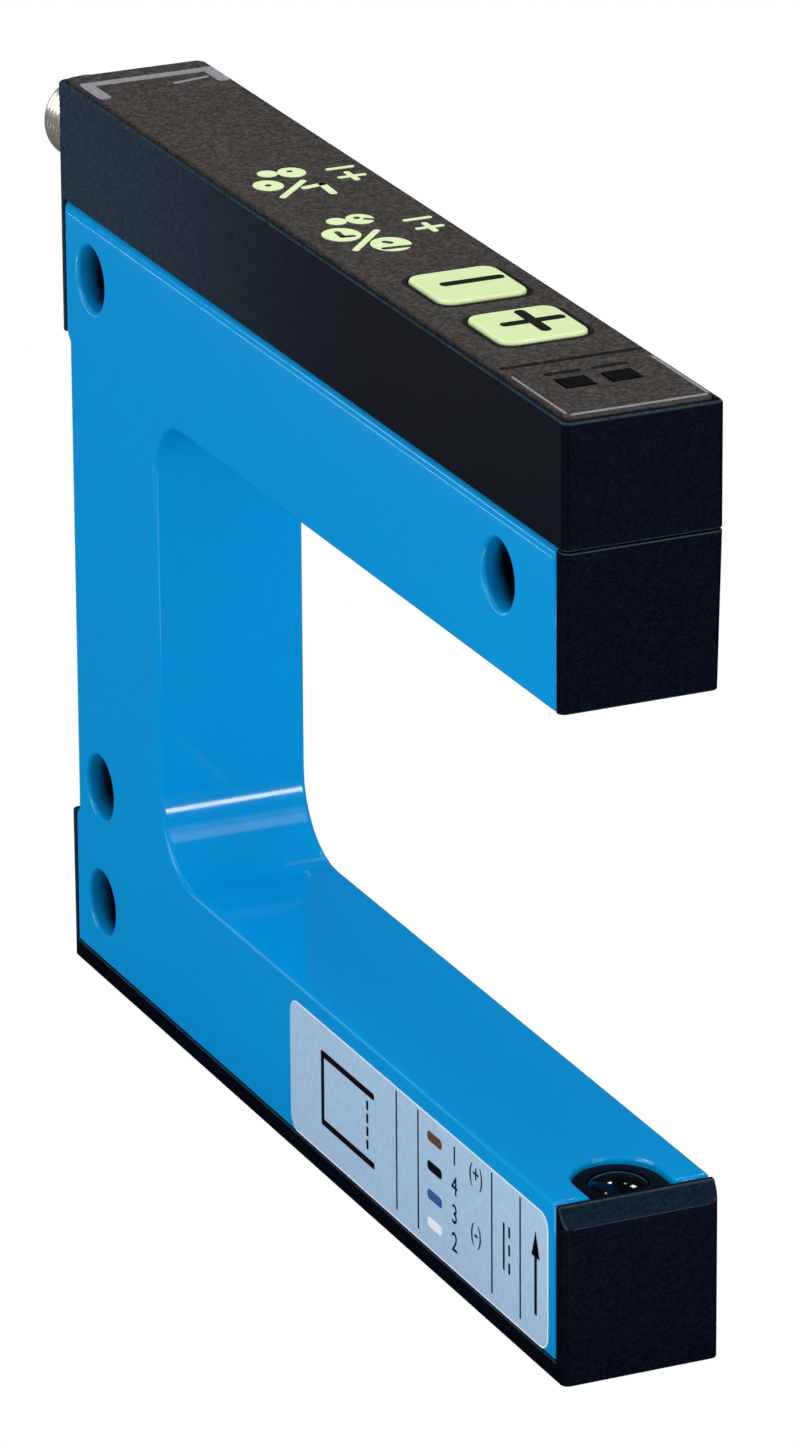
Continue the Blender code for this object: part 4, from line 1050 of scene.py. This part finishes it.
@dataclass
class Electronics:
    """Boards, packages, lamps and flex strips inside the casting."""

    leg_width: float = 0.3 * MM
    leg_reach: float = 0.4 * MM
    leg_pitch: float = 0.8 * MM
    leg_root: float = 0.05 * MM
    leg_bend: float = 0.18 * MM
    slack: float = 0.01 * MM
    chips: tuple[str, ...] = ("controller_chip", "regulator_chip", "amplifier_chip", "output_driver")

    def legs(self, chip: str, board: str) -> None:
        """Add two rows of bent legs between a package and its board.

        Args:
            chip: The package's node.
            board: The board's node.
        """
        low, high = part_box(chip)
        under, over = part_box(board)
        face = over.z if low.z > over.z else under.z
        rise = (low.z + high.z) / 2 - face
        leg = block("leg", (-self.leg_root, -self.leg_width / 2, min(0.0, rise)),
                    (self.leg_reach, self.leg_width / 2, max(0.0, rise)))
        bevel_edges(leg, self.leg_bend, 3,
                    lambda a, b: min(a.x, b.x) > 0.0
                    and max(abs(a.z - rise), abs(b.z - rise)) < self.slack)
        count = math.floor((high.y - low.y) / self.leg_pitch)
        rows = []
        for side, turn in ((high.x, 0.0), (low.x, math.pi)):
            for number in range(count):
                across = (low.y + high.y) / 2 + (number - (count - 1) / 2) * self.leg_pitch
                copy = bpy.data.objects.new("leg", leg.data.copy())
                bpy.context.scene.collection.objects.link(copy)
                copy.location = (side, across, face)
                copy.rotation_euler = (0.0, 0.0, turn)
                rows.append(copy)
        bpy.data.objects.remove(leg)
        dress(join(chip + "_legs", rows), Paint.TIN)

    def build(self) -> None:
        """Dress every inner node and add the legs."""
        for chip in self.chips:
            self.legs(chip, "main_board")
        finishes = {
            Paint.BOARD: ("main_board", "emitter_board", "receiver_board"),
            Paint.CHIP: self.chips + ("minus_plunger", "plus_plunger"),
            Paint.NYLON: ("minus_switch", "plus_switch"),
            Paint.RESIN: ("status_led_1", "status_led_2", "emitter_led", "receiver_diode"),
            Paint.FLEX: ("main_flex", "receiver_flex"),
            Paint.SMOKED: ("status_window_1", "status_window_2"),
        }
        for finish, nodes in finishes.items():
            for node in nodes:
                paint_node(node, finish)


@dataclass
class Studio:
    """A pale floor, soft lamps and the camera at the photograph's angle."""

    camera_at: Point = (466.07 * MM, -208.97 * MM, 221.00 * MM)
    azimuth: float = 65.69
    elevation: float = 20.74
    roll: float = -0.36
    focal_length: float = 225.0
    film: float = 36.0
    floor_size: float = 4.0
    daylight: float = 0.64
    gloss_light: float = 0.03
    lamps: tuple[tuple[str, Point, Flat, float], ...] = (
        ("key_softbox", (-0.1, -1.0, 0.6), (0.9, 0.6), 3.4),
        ("top_softbox", (0.2, 0.0, 1.05), (0.35, 0.35), 3.6),
        ("fillet_strip", (0.95, 0.42, 0.11), (0.5, 0.1), 22.0),
        ("white_card", (0.9, 0.41, 0.66), (0.6, 0.2), 0.8),
        ("bright_card", (0.82, 0.37, 0.86), (0.6, 0.24), 2.0),
        ("plug_spot", (-0.88, -0.5, 0.25), (0.07, 0.07), 4.0),
        ("spot_1", (-0.67, 0.16, 0.75), (0.08, 0.08), 26.0),
        ("spot_2", (-0.62, -0.05, 0.81), (0.07, 0.1), 22.0),
        ("spot_3", (-0.39, 0.55, 0.77), (0.08, 0.13), 26.0),
        ("spot_4", (-0.51, 0.42, 0.78), (0.05, 0.05), 10.0),
        ("spot_5", (-0.37, -0.13, 0.95), (0.07, 0.07), 12.0),
    )
    target: Point = (0.0, 0.0, 0.03)
    floor_strips: tuple[tuple[str, Point, Flat, float, float], ...] = (
        ("shoulder_strip", (-0.155, -0.0845, 0.001), (0.13, 0.004), 11.0, 0.0),
        ("corner_strip", (0.072, -0.083, 0.001), (0.135, 0.012), 3.5, -65.7),
    )

    def floor(self) -> None:
        """Lay a pale floor that the camera sees as clear white and gloss sees as dark."""
        deselect()
        bpy.ops.mesh.primitive_plane_add(size=self.floor_size, location=(0.0, 0.0, 0.0))
        floor = settle("studio_floor")
        made = bpy.data.materials.new("Pale studio floor")
        made.use_nodes = True
        tree = made.node_tree
        shader = tree.nodes["Principled BSDF"]
        shader.inputs["Roughness"].default_value = 0.9
        shader.inputs["Specular IOR Level"].default_value = 0.0
        path = add_node(tree, "ShaderNodeLightPath", {}, {})
        mix = add_node(tree, "ShaderNodeMix",
                       {"data_type": "RGBA", 6: linear("#D8D8D8"), 7: linear("#282828")},
                       {0: path.outputs["Is Glossy Ray"]})
        tree.links.new(mix.outputs[2], shader.inputs["Base Color"])
        white = add_node(tree, "ShaderNodeEmission", {"Color": (1.0, 1.0, 1.0, 1.0)}, {})
        seen = add_node(tree, "ShaderNodeMixShader", {},
                        {0: path.outputs["Is Camera Ray"], 1: shader.outputs[0], 2: white.outputs[0]})
        tree.links.new(seen.outputs[0], tree.nodes["Material Output"].inputs["Surface"])
        floor.data.materials.append(made)

    def world(self) -> None:
        """Surround the scene with even light, white to the camera and dark to gloss."""
        world = bpy.data.worlds.new("Studio")
        world.use_nodes = True
        bpy.context.scene.world = world
        tree = world.node_tree
        path = add_node(tree, "ShaderNodeLightPath", {}, {})
        dull = add_node(tree, "ShaderNodeMapRange",
                        {"To Min": self.daylight, "To Max": self.gloss_light},
                        {"Value": path.outputs["Is Glossy Ray"]})
        strength = add_node(tree, "ShaderNodeMath", {"operation": "MAXIMUM"},
                            {0: dull.outputs["Result"], 1: path.outputs["Is Camera Ray"]})
        background = tree.nodes["Background"]
        background.inputs["Color"].default_value = (1.0, 1.0, 1.0, 1.0)
        tree.links.new(strength.outputs[0], background.inputs["Strength"])

    def lamp(self, name: str, place: Point, size: Flat, radiance: float) -> Piece:
        """Hang a soft rectangular lamp that faces the sensor.

        Args:
            name: The lamp's name.
            place: Its centre.
            size: Its width and height.
            radiance: How bright it looks, where 1 is white paper in the final picture.

        Returns:
            The lamp.
        """
        deselect()
        bpy.ops.object.light_add(type="AREA", location=place)
        lamp = bpy.context.object
        lamp.name = name
        lamp.data.shape = "RECTANGLE"
        lamp.data.size, lamp.data.size_y = size
        lamp.data.energy = radiance * math.pi * size[0] * size[1]
        lamp.visible_camera = False
        aim = Vector(self.target) - Vector(place)
        lamp.rotation_euler = aim.to_track_quat("-Z", "Y").to_euler()
        return lamp

    def camera(self) -> None:
        """Set up the camera where the photograph was taken from."""
        deselect()
        bpy.ops.object.camera_add(location=self.camera_at)
        camera = bpy.context.object
        camera.data.sensor_fit = "AUTO"
        camera.data.sensor_width = self.film
        camera.data.lens = self.focal_length
        camera.data.clip_start = 0.01
        camera.data.clip_end = 20.0
        turn, tilt = math.radians(self.azimuth), math.radians(self.elevation)
        level = math.cos(tilt)
        aim = Vector((-math.sin(turn) * level, math.cos(turn) * level, -math.sin(tilt)))
        facing = aim.to_track_quat("-Z", "Y").to_matrix()
        rolled = facing @ Matrix.Rotation(math.radians(self.roll), 3, "Z")
        camera.rotation_euler = rolled.to_euler()
        bpy.context.scene.camera = camera

    def build(self) -> None:
        """Set up the camera, the floor, the lamps and the world."""
        self.camera()
        self.floor()
        self.world()
        for row in self.lamps:
            self.lamp(*row)
        for *row, turn in self.floor_strips:
            self.lamp(*row).rotation_euler = (math.pi, 0.0, math.radians(turn))
        bpy.context.scene.view_settings.view_transform = "Standard"


def main() -> None:
    """Build every class in order."""
    logging.basicConfig(level=logging.INFO, format="%(name)s %(message)s")
    Studio().build()
    for assembly in (Casting(), Mouldings(), KeypadPrint(), RatingPlate(), Plug(), Lenses(),
                     Electronics()):
        LOG.info("building %s", type(assembly).__name__)
        assembly.build()
    deselect()


if __name__ == "__main__":
    main()
